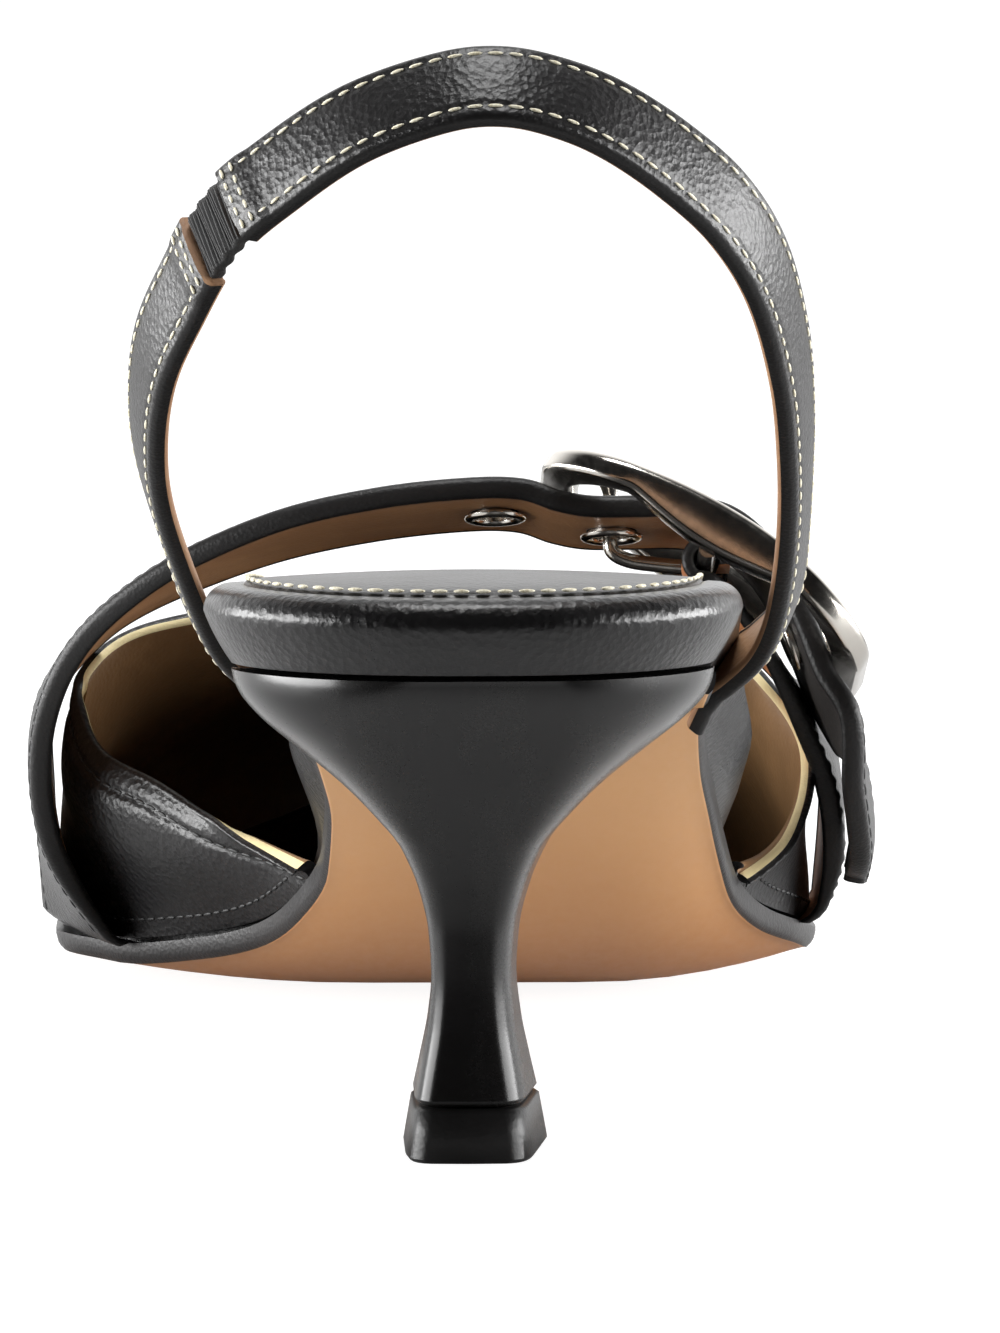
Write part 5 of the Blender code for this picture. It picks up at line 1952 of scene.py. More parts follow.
    def cap(
        self, maker: MeshMaker, medial: Sequence[list[Vector]], lateral: Sequence[list[Vector]]
    ) -> None:
        """Fill the top and the base between two stations.

        Args:
            maker: mesh to add to.
            medial: points up the medial side at both stations.
            lateral: points up the lateral side at both stations.
        """
        steps = self.cap_steps
        for index, role, crown in ((-1, Bed.SOCK, FOOTBED_CROWN), (0, Bed.BASE, 0.0)):
            rows = []
            for a, b in ((left[index], right[index]) for left, right in zip(medial, lateral)):
                rise = crown * min((b.x - a.x) / self.full_crown, 1.0)
                row = []
                for k in range(steps + 1):
                    share = k / steps
                    point = a.lerp(b, share)
                    if index == 0:
                        point.z = LAST.height(point.x, point.y) + GAP
                    row.append(point + Vector((0.0, 0.0, rise * (1.0 - (2.0 * share - 1.0) ** 2))))
                rows.append(row)
            maker.loft(rows, [role] * (steps + 1), closed=False, caps=False)

    def seam(self, places: Sequence[float]) -> Seam:
        """Path of the stitches on the sock, a little inside the seat's edge.

        Args:
            places: stations of the footbed.

        Returns:
            The row.
        """
        path = []
        used = [place for place in places if place < LAST.rear + self.seam_reach]
        for sign, stations in ((-1.0, used[::-1]), (1.0, used)):
            for station in stations:
                foot, out, tall, flare = self.side(station, sign)
                point = foot + out * (flare - RAND_CORNER - self.seam_inset)
                point.z += tall + self.sock_rise + self.thread_rise + LAST.keel(point.y) - LAST.keel(foot.y)
                path.append(point)
        return Seam("sock_stitches", path, [Vector((0.0, 0.0, 1.0))] * len(path), self.stitch)


class Wall(IntEnum):
    """Faces of the upper, in the order of its materials."""

    OUTER = 0
    LINING = 1
    RIM = 2
    FOOT = 3


@dataclass
class Vamp:
    """Closed pointed upper: leather outside, brown lining and a pale raw edge at the topline."""

    looks: Looks
    stitches: "StitchMaker"
    rib_steps: int = 11
    wall_steps: int = 46
    rim_steps: int = 12
    rim_spread: float = 0.0009
    rim_height: float = 0.9
    rib_crowd: float = 1.5
    groove_at: float = 0.0024
    groove_depth: float = 0.00028
    groove_width: float = 0.0005
    feather_row: float = 0.0021
    stitch: Stitch = Stitch(0.0018, 0.0015, 0.0004, 0.00028)

    def grids(self) -> tuple[list[list[Vector]], list[list[Vector]], list[list[Vector]]]:
        """Both faces of the wall.

        Returns:
            The outer face, the inner face and the normals between them.
        """
        count = (len(UPPER.rows) - 1) * self.rib_steps
        outer = [UPPER.rib(k / self.rib_steps, self.wall_steps, self.rib_crowd) for k in range(count + 1)]
        inner = []
        normals = []
        last = self.wall_steps
        for i in range(count + 1):
            ways = [grid_normal(outer, i, j) for j in range(last + 1)]
            ways[last].z = 0.0
            ways[last].normalize()
            normals.append(ways)
        for rib, ways in zip(outer, normals):
            for j, (point, way) in enumerate(zip(rib, ways)):
                point += way * self.rim_spread * (1.0 - j / last) ** 2 * (1.0 - max(way.z, 0.0))
            wall = [point - way * UPPER_WALL for point, way in zip(rib, ways)]
            wall[last].z = rib[last].z
            inner.append(wall)
            down = 0.0
            before = rib[0].copy()
            for point, way in zip(rib, ways):
                down += (point - before).length
                before = point.copy()
                dip = math.exp(-(((down - self.groove_at) / self.groove_width) ** 2))
                point -= way * self.groove_depth * dip
        return outer, inner, normals

    def build(self) -> list[bpy.types.Object]:
        """Make the upper and its two rows of stitches.

        Returns:
            The three pieces.
        """
        outer, inner, normals = self.grids()
        rings = []
        for out, within, ways in zip(outer, inner, normals):
            up = (out[0] - out[2]).normalized()
            middle = (out[0] + within[0]) * 0.5
            half = 0.5 * UPPER_WALL
            rim = []
            for k in range(1, self.rim_steps):
                turn = math.pi * k / self.rim_steps
                over = up * half * self.rim_height * math.sin(turn)
                rim.append(middle - ways[0] * half * math.cos(turn) + over)
            rings.append(out + list(reversed(within)) + rim)
        steps = self.wall_steps
        over = [Wall.LINING] + [Wall.RIM] * 4 + [Wall.OUTER] * (self.rim_steps - 5)
        roles = [Wall.OUTER] * steps + [Wall.FOOT] + [Wall.LINING] * steps + over
        maker = MeshMaker("upper_piece")
        maker.loft(rings, roles)
        looks = [self.looks.leather, self.looks.lining, self.looks.cream, self.looks.edge]
        shell = adopt(maker.build(looks), Slot.LEATHER, "upper")
        rows = [
            self.seam("topline_stitches", outer, normals, self.groove_at),
            self.seam("feather_stitches", outer, normals, -self.feather_row),
        ]
        sewn = [self.stitches.sew(row, self.looks.thread_black) for row in rows]
        return [shell] + [adopt(row, Slot.LEATHER) for row in sewn]

    def seam(
        self, name: str, outer: list[list[Vector]], normals: list[list[Vector]], drop: float
    ) -> Seam:
        """Row of stitches round the wall.

        Args:
            name: object name.
            outer: points of the outer face.
            normals: its normals.
            drop: distance below the topline, or above the feather edge if negative.

        Returns:
            The row.
        """
        path = []
        out = []
        for rib, ways in zip(outer, normals):
            order = list(zip(rib, ways))
            if drop < 0.0:
                order.reverse()
            left = abs(drop)
            for (here, way), (there, _) in zip(order, order[1:]):
                step = (there - here).length
                if step >= left:
                    path.append(here.lerp(there, left / step) + way * 0.00003)
                    out.append(way)
                    break
                left -= step
        return Seam(name, path, out, self.stitch)


def fine_heel_loop(height: float, drop: float, steps: int = 34, shrink: float = 0.0) -> list[Vector]:
    """Outline of the heel at a share of the seat's height, with rounded breast corners.

    Args:
        height: share of the seat's height.
        drop: lowering at the seat, in metres.
        steps: points along each side.
        shrink: how far the outline is drawn in.

    Returns:
        The closed outline.
    """
    places = [row.height for row in HEEL_ROWS]

    def read(name: str) -> float:
        """Value of a named column at this height."""
        return eased(places, [getattr(row, name) for row in HEEL_ROWS], height)

    rear = read("rear") * HEEL_DEPTH + shrink
    front = read("front") * HEEL_DEPTH - shrink
    half = read("half") * HEEL_WIDTH - shrink
    seat = read("seat")
    taper = read("taper")
    sides: dict[int, list[Vector]] = {-1: [], 1: []}
    for k in range(steps + 1):
        v = 1.0 - math.cos(k / steps * math.pi / 2.0)
        v = HEEL_CROWD * v + (1.0 - HEEL_CROWD) * k / steps
        y = rear + (front - rear) * v
        width = half * (taper + (1.0 - taper) * v) * rounded(v / HEEL_ROUND, read("square"))
        left = max(1.0 - (front - y) / BREAST_CORNER, 0.0)
        width -= BREAST_CORNER * (1.0 - math.sqrt(max(1.0 - left * left, 0.0)))
        medial, lateral = LAST.edges(y)
        for side in (-1, 1):
            x = side * width + math.tan(HEEL_TURN) * y
            x = x * (1.0 - seat) + (medial if side < 0 else lateral) * seat
            sides[side].append(Vector((x, y, 0.0)))
    ring = list(reversed(sides[-1])) + sides[1][1:]
    left_end, right_end = ring[0], ring[-1]
    ring += [right_end.lerp(left_end, share / 10) for share in range(1, 10)]
    for point in ring:
        point.z = height * (LAST.keel(point.y) + GAP - drop)
    return ring


@dataclass
class SpoolHeel:
    """Flared lacquered heel and its top piece."""

    looks: Looks
    rows: int = 72
    ease: float = 0.0004

    def build(self) -> list[bpy.types.Object]:
        """Make the heel and its top piece.

        Returns:
            Both pieces.
        """
        floor = (TIP_HEIGHT + GAP) / SEAT_BASE
        rings = [fine_heel_loop(floor, GAP, shrink=self.ease)]
        for k in range(self.rows + 1):
            height = floor + (1.0 - floor) * (k / self.rows)
            if k == 0:
                height += self.ease / SEAT_BASE
            rings.append(fine_heel_loop(height, GAP + GAP * height))
        maker = MeshMaker("heel_piece")
        maker.loft(rings, [0] * len(rings[0]))
        heel = adopt(maker.build([self.looks.lacquer], 60.0), Slot.LACQUER, "heel")
        ease = self.ease
        sides = ((ease, 0.0), (0.5 * TIP_HEIGHT, 0.0), (TIP_HEIGHT - ease, 0.0))
        loops = []
        for level, shrink in ((0.0, ease), *sides, (TIP_HEIGHT, ease)):
            loop = fine_heel_loop(level / SEAT_BASE, GAP, shrink=shrink)
            for point in loop:
                point.z = level
            loops.append(loop)
        maker = MeshMaker("tip_piece")
        maker.loft(loops, [0] * len(loops[0]))
        tip = adopt(maker.build([self.looks.rubber]), Slot.RUBBER, "heel_tip")
        return [heel, tip]


@dataclass
class HeelStrap:
    """Sling strap in two leather pieces with the elastic between them."""

    looks: Looks
    stitches: "StitchMaker"
    form: StrapForm = StrapForm(edge=0.00075, inset=0.0009, pillow=0.00022, groove=0.0013, lined=True)
    short_steps: int = 96
    long_steps: int = 190
    gore_steps: int = 170
    margin: float = 0.0013
    row_inset: float = 0.0014
    row_step: float = 0.0006
    hem: float = 0.0030
    hem_rise: float = 0.00025
    hem_slope: float = 0.0008
    hem_rows: tuple[float, float] = (0.0008, 0.0021)
    rib: float = 0.00042
    rib_height: float = 0.00009
    wrinkle: float = 0.0021
    wrinkle_height: float = 0.00016
    stitch: Stitch = Stitch(0.00195, 0.00145, 0.00038, 0.00034)
    hem_stitch: Stitch = Stitch(0.0014, 0.00115, 0.00038, 0.00034)
    medial_tuck: Tuck = ((0.0006, 0.0004, -0.0010), (0.0016, 0.0010, -0.0022), (0.0030, 0.0016, -0.0034))
    lateral_tuck: Tuck = (
        (-0.0011, 0.0004, -0.0008), (-0.0022, 0.0009, -0.0022), (-0.0031, 0.0012, -0.0042)
    )

    def build(self) -> list[bpy.types.Object]:
        """Make the strap's pieces, the elastic and their stitches.

        Returns:
            All the pieces.
        """
        clear = GAP / SLING.length
        looks = [self.looks.strap_lining, self.looks.edge, self.looks.leather]
        maker = StrapMaker(SLING, self.form, looks)
        short_end = GORE_START - clear
        long_start = GORE_END + clear
        made = []
        hem = self.hem_dent(short_end, True)
        lead = shifts(self.medial_tuck)
        shares = evenly(0.0, short_end, self.short_steps)
        short = maker.make("sling_short_piece", shares, dent=hem, lead=lead)
        made.append(adopt(short, Slot.LEATHER, "sling_short"))
        hem = self.hem_dent(long_start, False)
        trail = shifts(self.lateral_tuck)
        shares = evenly(long_start, 1.0, self.long_steps)
        long = maker.make("sling_long_piece", shares, dent=hem, trail=trail)
        made.append(adopt(long, Slot.LEATHER, "sling_long"))
        rows = []
        for name, start, end in (("short", 0.0, short_end), ("long", long_start, 1.0)):
            inset = self.row_inset / SLING.length
            for side, across in (("rear", self.margin), ("front", SLING_WIDTH - self.margin)):
                rows.append(self.row(f"sling_{name}_{side}_stitches", start + inset, end - inset, across))
        for name, end, sign in (("short_hem", short_end, -1.0), ("long_hem", long_start, 1.0)):
            for number, inset in enumerate(self.hem_rows, 1):
                rows.append(self.cross(f"{name}_stitches_{number}", end + sign * inset / SLING.length))
        made += [adopt(self.stitches.sew(row, self.looks.thread), Slot.LEATHER) for row in rows]
        made.append(self.gore())
        return made

    def hem_dent(self, end: float, before: bool) -> Dent:
        """Thickening of the folded hem beside the elastic.

        Args:
            end: share of the strap's length at the elastic.
            before: whether the piece lies before the elastic.

        Returns:
            The dent.
        """
        edge = end * SLING.length

        def dent(along: float, _across: float, role: int) -> float:
            """Rise at a distance along the strap, on all but the lining."""
            left = (edge - along) if before else (along - edge)
            if role == Face.LINING:
                return 0.0
            return self.hem_rise * (1.0 - min(max((left - self.hem) / self.hem_slope, 0.0), 1.0))

        return dent

    def row(self, name: str, start: float, end: float, across: float) -> Seam:
        """Stitches along the strap.

        Args:
            name: object name.
            start: share of the length where they start.
            end: share where they end.
            across: distance from the rear edge.

        Returns:
            The row.
        """
        count = max(int((end - start) * SLING.length / self.row_step), 4)
        path = []
        out = []
        for share in evenly(start, end, count):
            edge, way, normal = SLING.frame(share)
            path.append(edge + way * across + normal * (SLING_THICKNESS + 0.00004))
            out.append(normal)
        return Seam(name, path, out, self.stitch)

    def cross(self, name: str, share: float) -> Seam:
        """Stitches across the strap's hem.

        Args:
            name: object name.
            share: share of the length where they lie.

        Returns:
            The row.
        """
        path = []
        out = []
        edge, way, normal = SLING.frame(share)
        for across in evenly(self.margin, SLING_WIDTH - self.margin, 12):
            bulge = self.form.pillow * (1.0 - (2.0 * across / SLING_WIDTH - 1.0) ** 2) + 0.00027
            path.append(edge + way * across + normal * (SLING_THICKNESS + bulge))
            out.append(normal)
        return Seam(name, path, out, self.hem_stitch)

    def gore(self) -> bpy.types.Object:
        """Ribbed elastic between the two hems.

        Returns:
            The elastic.
        """
        band = sling_band(GORE_WIDTH, GORE_THICKNESS)
        lift = 0.5 * (SLING_THICKNESS - GORE_THICKNESS)
        _, _, normal = band.frame(0.5 * (GORE_START + GORE_END))
        form = StrapForm(edge=0.0005, inset=0.0003, pillow=0.0)
        maker = StrapMaker(band, form, [self.looks.elastic] * 3)

        def ribs(along: float, across: float, role: int) -> float:
            """Slow wrinkles, and fine ribs on the outer face."""
            phase = along / self.wrinkle * 2.0 * math.pi + 0.5 * across / self.wrinkle
            wrinkle = self.wrinkle_height * math.sin(phase)
            if role != Face.OUTER:
                return wrinkle
            return wrinkle + self.rib_height * math.sin(along / self.rib * 2.0 * math.pi)

        shares = evenly(GORE_START, GORE_END, self.gore_steps)
        piece = maker.make("elastic_piece", shares, dent=ribs)
        for vertex in piece.data.vertices:
            vertex.co += normal * lift
        return adopt(piece, Slot.ELASTIC, "elastic_gore")


@dataclass
class Eyelets:
    """Metal eyelets through the belt."""

    looks: Looks
    sides: int = 40
    dome_steps: int = 8
    dome_square: float = 0.8

    def build(self) -> list[bpy.types.Object]:
        """Make one eyelet for each hole.

        Returns:
            The eyelets.
        """
        made = []
        for number, share in enumerate(eyelet_shares(), 1):
            _, _, normal = BELT.frame(share)
            centre = BELT.point(share, EYELET_ACROSS, 0.0)
            maker = turned(f"eyelet_{number}_piece", self.outline(), centre, normal, self.sides)
            made.append(adopt(maker.build([self.looks.metal], 35.0), Slot.METAL, f"eyelet_{number}"))
        return made

    def outline(self) -> list[tuple[float, float]]:
        """Closed profile of the tube with a domed flange at each end.

        Returns:
            Radius and height of each point.
        """
        bore = 0.5 * EYELET_BORE
        tube = bore + EYELET_TUBE
        flange = 0.5 * EYELET_FLANGE
        low, high = -FLANGE_GAP, BELT_THICKNESS + FLANGE_GAP

        middle, reach = 0.5 * (bore + flange), 0.5 * (flange - bore)

        def dome(base: float, way: float) -> list[tuple[float, float]]:
            """Points over one flange, outside first."""
            spots = []
            for turn in (math.pi * k / self.dome_steps for k in range(self.dome_steps + 1)):
                height = base + way * EYELET_LIP * math.sin(turn) ** self.dome_square
                spots.append((middle + reach * math.cos(turn), height))
            return spots

        upper = dome(high, 1.0)
        lower = list(reversed(dome(low, -1.0)))
        return [(tube, low), (tube, high)] + upper + lower


@dataclass
class InstepBelt:
    """Wide belt over the instep with its eyelet holes and free tip."""

    looks: Looks
    stitches: "StitchMaker"
    rows: int = 300
    tip_steps: int = 30
    hole_sides: int = 36
    margin: float = 0.0019
    stitch: Stitch = Stitch(0.0019, 0.0016, 0.0004, 0.00028)
    skive: float = 0.075
    form: StrapForm = StrapForm(edge=0.0009, inset=0.0011, pillow=0.0003, groove=0.0019)
    tuck: Tuck = ((0.0004, 0.0, -0.0005), (0.0011, 0.0002, -0.0011), (0.0020, 0.0004, -0.0015))

    def narrow(self, share: float) -> float:
        """Share of the full width towards the rounded tip."""
        left = 1.0 - (1.0 - share) / BELT_TIP_ROUND
        return 1.0 if left <= 0.0 else max(math.sqrt(max(1.0 - left**2.4, 0.0)), 0.34)

    def thick(self, share: float) -> float:
        """Thickness at a share of the belt's length, skived where it goes under the upper."""
        grown = math.sin(min(share / self.skive, 1.0) * math.pi / 2.0)
        return BELT_THICKNESS * (0.5 + 0.5 * grown)

    def build(self) -> list[bpy.types.Object]:
        """Make the belt and its stitches.

        Returns:
            The three pieces.
        """
        shares = evenly(0.0, 1.0 - BELT_TIP_ROUND, self.rows)
        for k in range(1, self.tip_steps + 1):
            bend = math.sin(k / self.tip_steps * math.pi / 2.0)
            shares.append(1.0 - BELT_TIP_ROUND * (1.0 - bend))
        looks = [self.looks.belt_lining, self.looks.edge, self.looks.leather]
        maker = StrapMaker(BELT, self.form, looks)
        lead = shifts(self.tuck)
        belt = maker.make("belt_piece", shares, self.narrow, thick=self.thick, lead=lead)
        cutters = []
        for k, share in enumerate(eyelet_shares()):
            _, _, normal = BELT.frame(share)
            centre = BELT.point(share, EYELET_ACROSS, 0.5 * BELT_THICKNESS)
            radius = 0.5 * EYELET_BORE + EYELET_TUBE + 0.5 * GAP
            hole = rod(f"belt_hole_{k + 1}", centre, normal, radius, 4.0 * BELT_THICKNESS, self.hole_sides)
            cutters.append(hole.build([self.looks.edge]))
        carve(belt, cutters)
        made = [adopt(belt, Slot.LEATHER, "instep_belt")]
        for side, across in (("rear", self.margin), ("front", BELT_WIDTH - self.margin)):
            seam = self.row(f"belt_{side}_stitches", across)
            made.append(adopt(self.stitches.sew(seam, self.looks.thread_black), Slot.LEATHER))
        return made

    def row(self, name: str, across: float) -> Seam:
        """Stitches along one edge of the belt.

        Args:
            name: object name.
            across: distance from the rear edge.

        Returns:
            The row.
        """
        path = []
        out = []
        for share in evenly(0.004, 1.0 - 0.0015 / BELT.length, 320):
            edge, way, normal = BELT.frame(share)
            middle = 0.5 * BELT_WIDTH
            spot = middle + (across - middle) * self.narrow(share)
            path.append(edge + way * spot + normal * (self.thick(share) + 0.00003))
            out.append(normal)
        return Seam(name, path, out, self.stitch)


@dataclass
class AnchorStrap:
    """Short strap that holds the buckle by its bar."""

    looks: Looks
    rows: int = 200
    form: StrapForm = StrapForm(edge=0.0006, inset=0.0009, pillow=0.0002, groove=0.0017)
    tuck: Tuck = ((-0.0003, 0.0, -0.0006), (-0.0010, 0.0, -0.0014), (-0.0020, 0.0, -0.0020))
    bead: float = 0.0019
    bead_height: float = 0.00012
    bead_width: float = 0.0008
    bead_start: float = 0.012
    crowd: float = 1.25
    growth: float = 0.22
    skive: float = 0.45
    skive_share: float = 0.14

    def thick(self, share: float) -> float:
        """Thickness at a share of the strap's length."""
        loop_rows = len(ANCHOR.edge) - len(ANCHOR_ROWS)
        grown = min(max(self.growth * (ANCHOR.place(share) - loop_rows), 0.0), 1.0)
        depth = LOOP_THICKNESS + (ANCHOR_THICKNESS - LOOP_THICKNESS) * grown
        return depth * (1.0 - self.skive * max(share - 1.0 + self.skive_share, 0.0) / self.skive_share)

    def build(self) -> list[bpy.types.Object]:
        """Make the strap with its slot for the prong.

        Returns:
            The strap.
        """
        shares = [(k / self.rows) ** self.crowd for k in range(self.rows + 1)]
        looks = [self.looks.lining_warm, self.looks.edge, self.looks.leather]
        maker = StrapMaker(ANCHOR, self.form, looks)
        trail = shifts(self.tuck)
        strap = maker.make("anchor_piece", shares, thick=self.thick, dent=self.crimp, trail=trail)
        reach = 5.4 * PRONG_RING
        slot = bmesh.new()
        bmesh.ops.create_cube(slot, size=1.0)
        size = Matrix.Diagonal((reach, PRONG_RING_WIDTH + 4.0 * GAP, reach, 1.0))
        axes = Matrix((ALONG, FORWARD, OUTWARD)).transposed().to_4x4()
        centre = buckle_point(-0.30 * reach, PRONG_ACROSS, BAR_HEIGHT)
        bmesh.ops.transform(slot, matrix=Matrix.Translation(centre) @ axes @ size, verts=slot.verts)
        data = bpy.data.meshes.new("prong_slot")
        slot.to_mesh(data)
        slot.free()
        data.materials.append(self.looks.edge)
        carve(strap, [put("prong_slot", data)])
        return [adopt(strap, Slot.LEATHER, "anchor_strap")]

    def crimp(self, along: float, across: float, role: int) -> float:
        """Small beads that the stitches pull into the strap's edges."""
        if role != Face.OUTER or along < self.bead_start:
            return 0.0
        near = min(across, ANCHOR_WIDTH - across)
        fade = math.exp(-((near / self.bead_width - 1.0) ** 2))
        return self.bead_height * fade * math.cos(along / self.bead * 2.0 * math.pi)


@dataclass
class Buckle:
    """Arched metal frame with its bar, and the prong."""

    looks: Looks
    turns: int = 18
    edge_steps: int = 6
    long_steps: int = 12
    short_steps: int = 4
    bar_sides: int = 24
    ring_sides: int = 40
    belly_share: float = 0.56
    prong_steps: int = 90
    prong_sides: int = 16
    prong_tip: float = 0.35
    look_ahead: float = 0.05
    ring_ease: float = 0.0003

    def path(self) -> list[tuple[float, float, tuple[float, float]]]:
        """Points of the rounded rectangle.

        Returns:
            Place along and across, and the outward direction, of each.
        """
        length, width, corner = BUCKLE_HALF_LENGTH, BUCKLE_HALF_WIDTH, BUCKLE_CORNER
        centres = (
            (length - corner, width - corner, 0.0),
            (corner - length, width - corner, 90.0),
            (corner - length, corner - width, 180.0),
            (length - corner, corner - width, 270.0),
        )
        spots = []
        for u, v, start in centres:
            for k in range(self.turns + 1):
                angle = math.radians(start + 90.0 * k / self.turns)
                way = (math.cos(angle), math.sin(angle))
                spots.append((u + corner * way[0], v + corner * way[1], way))
            sign = -1.0 if start < 180.0 else 1.0
            if start in (0.0, 180.0):
                for k in range(1, 2 * self.long_steps):
                    share = -1.0 + k / self.long_steps
                    spots.append((sign * share * (length - corner), v + corner * way[1], way))
            else:
                for k in range(1, 2 * self.short_steps):
                    share = -1.0 + k / self.short_steps
                    spots.append((u + corner * way[0], sign * share * (width - corner), way))
        return spots

    def section(self, floor: float, rise: float) -> list[tuple[float, float]]:
        """Section of the frame with rounded edges.

        Args:
            floor: height of its underside.
            rise: height of its top.

        Returns:
            Place across and height of each point.
        """
        half = 0.5 * BUCKLE_RIM
        spots = []
        corners = (
            (-half, floor, BUCKLE_EDGE_UNDER, 180.0),
            (half, floor, BUCKLE_EDGE_UNDER, 270.0),
            (half, rise, BUCKLE_EDGE, 0.0),
            (-half, rise, BUCKLE_EDGE, 90.0),
        )
        for x, z, radius, start in corners:
            inward = -1.0 if x > 0.0 else 1.0
            upward = -1.0 if z == rise else 1.0
            for k in range(self.edge_steps + 1):
                angle = math.radians(start + 90.0 * k / self.edge_steps)
                across = x + inward * radius + radius * math.cos(angle)
                spots.append((across, z + upward * radius + radius * math.sin(angle)))
        return spots

    def build(self) -> list[bpy.types.Object]:
        """Make the frame with its bar, and the prong with its ring.

        Returns:
            The four pieces.
        """
        rings = []
        for u, v, way in self.path():
            bend = BUCKLE_BEND_MEDIAL if u < BUCKLE_CREST else BUCKLE_BEND_LATERAL
            rise = BUCKLE_ARCH - bend * (u - BUCKLE_CREST) ** 2
            middle = min(abs(u) / (self.belly_share * BUCKLE_HALF_LENGTH), 1.0)
            belly = BUCKLE_BELLY * math.cos(middle * math.pi / 2.0)
            spots = self.section(rise - BUCKLE_DEPTH - belly, rise)
            rings.append([buckle_point(u + way[0] * s, v + way[1] * s, h) for s, h in spots])
        maker = MeshMaker("buckle_frame")
        maker.loft(rings, [0] * len(rings[0]), caps=False, loop=True)
        frame = maker.build([self.looks.metal], 40.0)
        centre = buckle_point(0.0, 0.0, BAR_HEIGHT)
        bar = rod("buckle_bar", centre, FORWARD, BAR_RADIUS, 2.0 * BUCKLE_HALF_WIDTH, self.bar_sides)
        adopt(frame, Slot.METAL, "buckle")
        made = [frame, adopt(bar.build([self.looks.metal]), Slot.METAL)]
        return made + self.prong()

    def prong(self) -> list[bpy.types.Object]:
        """Bent prong and the ring that turns on the bar.

        Returns:
            Both pieces.
        """
        points = [
            buckle_point(row.along * BUCKLE_HALF_LENGTH, PRONG_ACROSS, row.out * BUCKLE_ARCH)
            for row in PRONG_PATH
        ]
        final = len(points) - 1
        rings = []
        for k in range(self.prong_steps + 1):
            at = k / self.prong_steps * final
            here = catmull(points, at)
            ahead = catmull(points, min(at + self.look_ahead, final))
            lift = (ahead - catmull(points, max(at - self.look_ahead, 0.0))).normalized()
            lift = lift.cross(FORWARD).normalized()
            tip = max((at - final + self.prong_tip) / self.prong_tip, 0.0)
            radius = PRONG_RADIUS * math.sqrt(max(1.0 - tip * tip, 0.03))
            ring = []
            for n in range(self.prong_sides):
                angle = 2.0 * math.pi * n / self.prong_sides
                spoke = FORWARD * radius * math.cos(angle) + lift * radius * math.sin(angle)
                ring.append(here + spoke)
            rings.append(ring)
        maker = MeshMaker("prong_piece")
        maker.loft(rings, [0] * self.prong_sides)
        prong = maker.build([self.looks.metal])
        outer, inner, half = PRONG_RING, BAR_RADIUS + GAP, 0.5 * PRONG_RING_WIDTH
        upper = [(inner, half), (outer - self.ring_ease, half), (outer, half - self.ring_ease)]
        outline = [(reach, -height) for reach, height in upper] + upper[::-1]
        centre = buckle_point(0.0, PRONG_ACROSS, BAR_HEIGHT)
        ring = turned("prong_ring", outline, centre, FORWARD, self.ring_sides)
        adopt(prong, Slot.METAL, "buckle_prong")
        return [prong, adopt(ring.build([self.looks.metal], 35.0), Slot.METAL)]


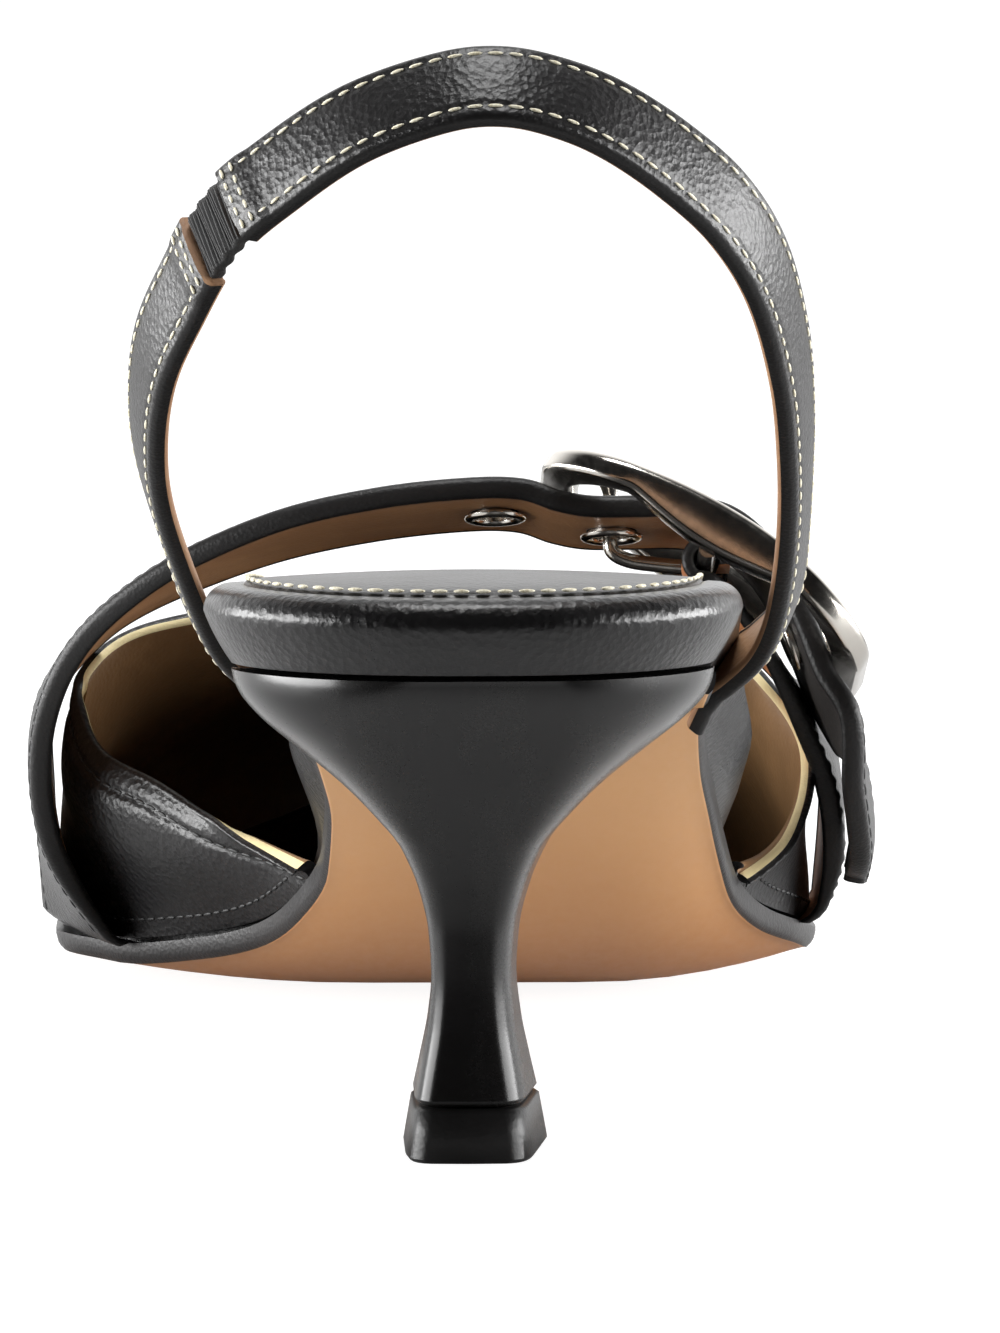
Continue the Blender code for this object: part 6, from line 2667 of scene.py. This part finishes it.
@dataclass
class Studio:
    """Pale floor, soft lights and the camera."""

    reach: float = 3.2
    white: Colour = (1.0, 1.0, 1.0)
    dark: Colour = (0.02, 0.02, 0.02)
    shaded: tuple[float, float] = (-0.15, -0.03)
    side_size: tuple[float, float] = (1.1, 0.34)
    top_size: tuple[float, float] = (0.5, 0.30)
    side_aim: Triple = (0.0, 0.05, 0.05)
    lens: float = 397.0
    eye: Triple = (-0.0247, -1.4250, 0.2153)
    drop: float = math.radians(6.7)
    turn: float = math.radians(1.1034)

    def build(self) -> None:
        """Place the floor, the lights and the camera."""
        bpy.context.scene.view_settings.view_transform = "Standard"
        self.floor("floor", 0.0, 0.30, 0.90)
        self.floor("floor_bounce", -0.0002, 0.62, 0.0)
        self.sky()
        self.light("left", (-0.90, 0.06, 0.10), self.side_aim, self.side_size, 20.0)
        self.light("right", (0.90, 0.06, 0.10), self.side_aim, self.side_size, 18.0)
        self.light("top", (0.0, 0.0, 1.0), (0.0, 0.04, 0.0), self.top_size, 9.0)
        self.camera()

    def floor(self, name: str, level: float, albedo: float, glow: float) -> None:
        """Add a ground: white for the camera, or a greyer one for what the shoe mirrors.

        Args:
            name: object name.
            level: its height.
            albedo: how pale it is.
            glow: its own light, or 0 for the one that only the shoe sees.
        """
        seen = glow > 0.0
        data = bpy.data.meshes.new(name)
        signs = ((-1, -1), (1, -1), (1, 1), (-1, 1))
        corners = [(x * self.reach, y * self.reach, level) for x, y in signs]
        data.from_pydata(corners, [], [(0, 1, 2, 3)])
        ground = put(name, data)
        graph = ShaderGraph(name + "_white")
        _, y, _ = graph.spot()
        share = y.step(-9.0, -8.0) if seen else y.step(*self.shaded)
        graph.feed("Base Color", graph.blend(share, self.dark, (albedo,) * 3))
        graph.fix(roughness=0.9, specular_ior_level=0.2)
        graph.fix(emission_color=self.white, emission_strength=glow)
        data.materials.append(graph.material)
        ground.visible_camera = seen
        ground.visible_glossy = not seen
        ground.visible_diffuse = not seen
        ground.visible_shadow = False

    def sky(self) -> None:
        """Soft light that fades out on the side the shoe is seen from."""
        world = bpy.data.worlds.new("studio")
        world.use_nodes = True
        tree = world.node_tree
        way = add_node(tree, "ShaderNodeTexCoord").outputs["Generated"]
        split = add_node(tree, "ShaderNodeSeparateXYZ", {0: way})
        span = {"From Min": 0.15, "From Max": 0.9, "To Min": 0.010, "To Max": 1.5}
        span["Value"] = split.outputs["Y"]
        fade = add_node(tree, "ShaderNodeMapRange", span, interpolation_type="SMOOTHSTEP")
        background = tree.nodes["Background"]
        tree.links.new(fade.outputs["Result"], background.inputs["Strength"])
        background.inputs["Color"].default_value = (*self.white, 1.0)
        bpy.context.scene.world = world

    def light(self, name: str, spot: Triple, aim: Triple, size: tuple[float, float], power: float) -> None:
        """Add a rectangular softbox.

        Args:
            name: object name.
            spot: place of its middle.
            aim: point that it faces.
            size: width and height.
            power: watts.
        """
        data = bpy.data.lights.new(name, "AREA")
        data.shape = "RECTANGLE"
        data.size, data.size_y = size
        data.energy = power
        made = put(name, data)
        made.location = spot
        made.rotation_euler = (Vector(aim) - Vector(spot)).to_track_quat("-Z", "Y").to_euler()

    def camera(self) -> None:
        """Long lens from behind, a little above the shoe."""
        data = bpy.data.cameras.new("camera")
        data.lens = self.lens
        data.sensor_width = 36.0
        data.sensor_fit = "AUTO"
        data.clip_end = 20.0
        made = put("camera", data)
        made.location = self.eye
        made.rotation_euler = (math.radians(90.0) - self.drop, 0.0, -self.turn)
        bpy.context.scene.camera = made


def clear_start() -> None:
    """Remove whatever the file opens with."""
    for old in list(bpy.data.objects):
        bpy.data.objects.remove(old, do_unlink=True)


def main() -> None:
    """Build the shoe piece by piece, then the studio round it."""
    logging.basicConfig(level=logging.INFO, format="%(message)s")
    clear_start()
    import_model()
    looks = Looks()
    stitches = StitchMaker()
    Tread(looks).build()
    Footbed(looks, stitches).build()
    Vamp(looks, stitches).build()
    SpoolHeel(looks).build()
    InstepBelt(looks, stitches).build()
    AnchorStrap(looks).build()
    Buckle(looks).build()
    Eyelets(looks).build()
    HeelStrap(looks, stitches).build()
    Studio().build()


if __name__ == "__main__":
    main()
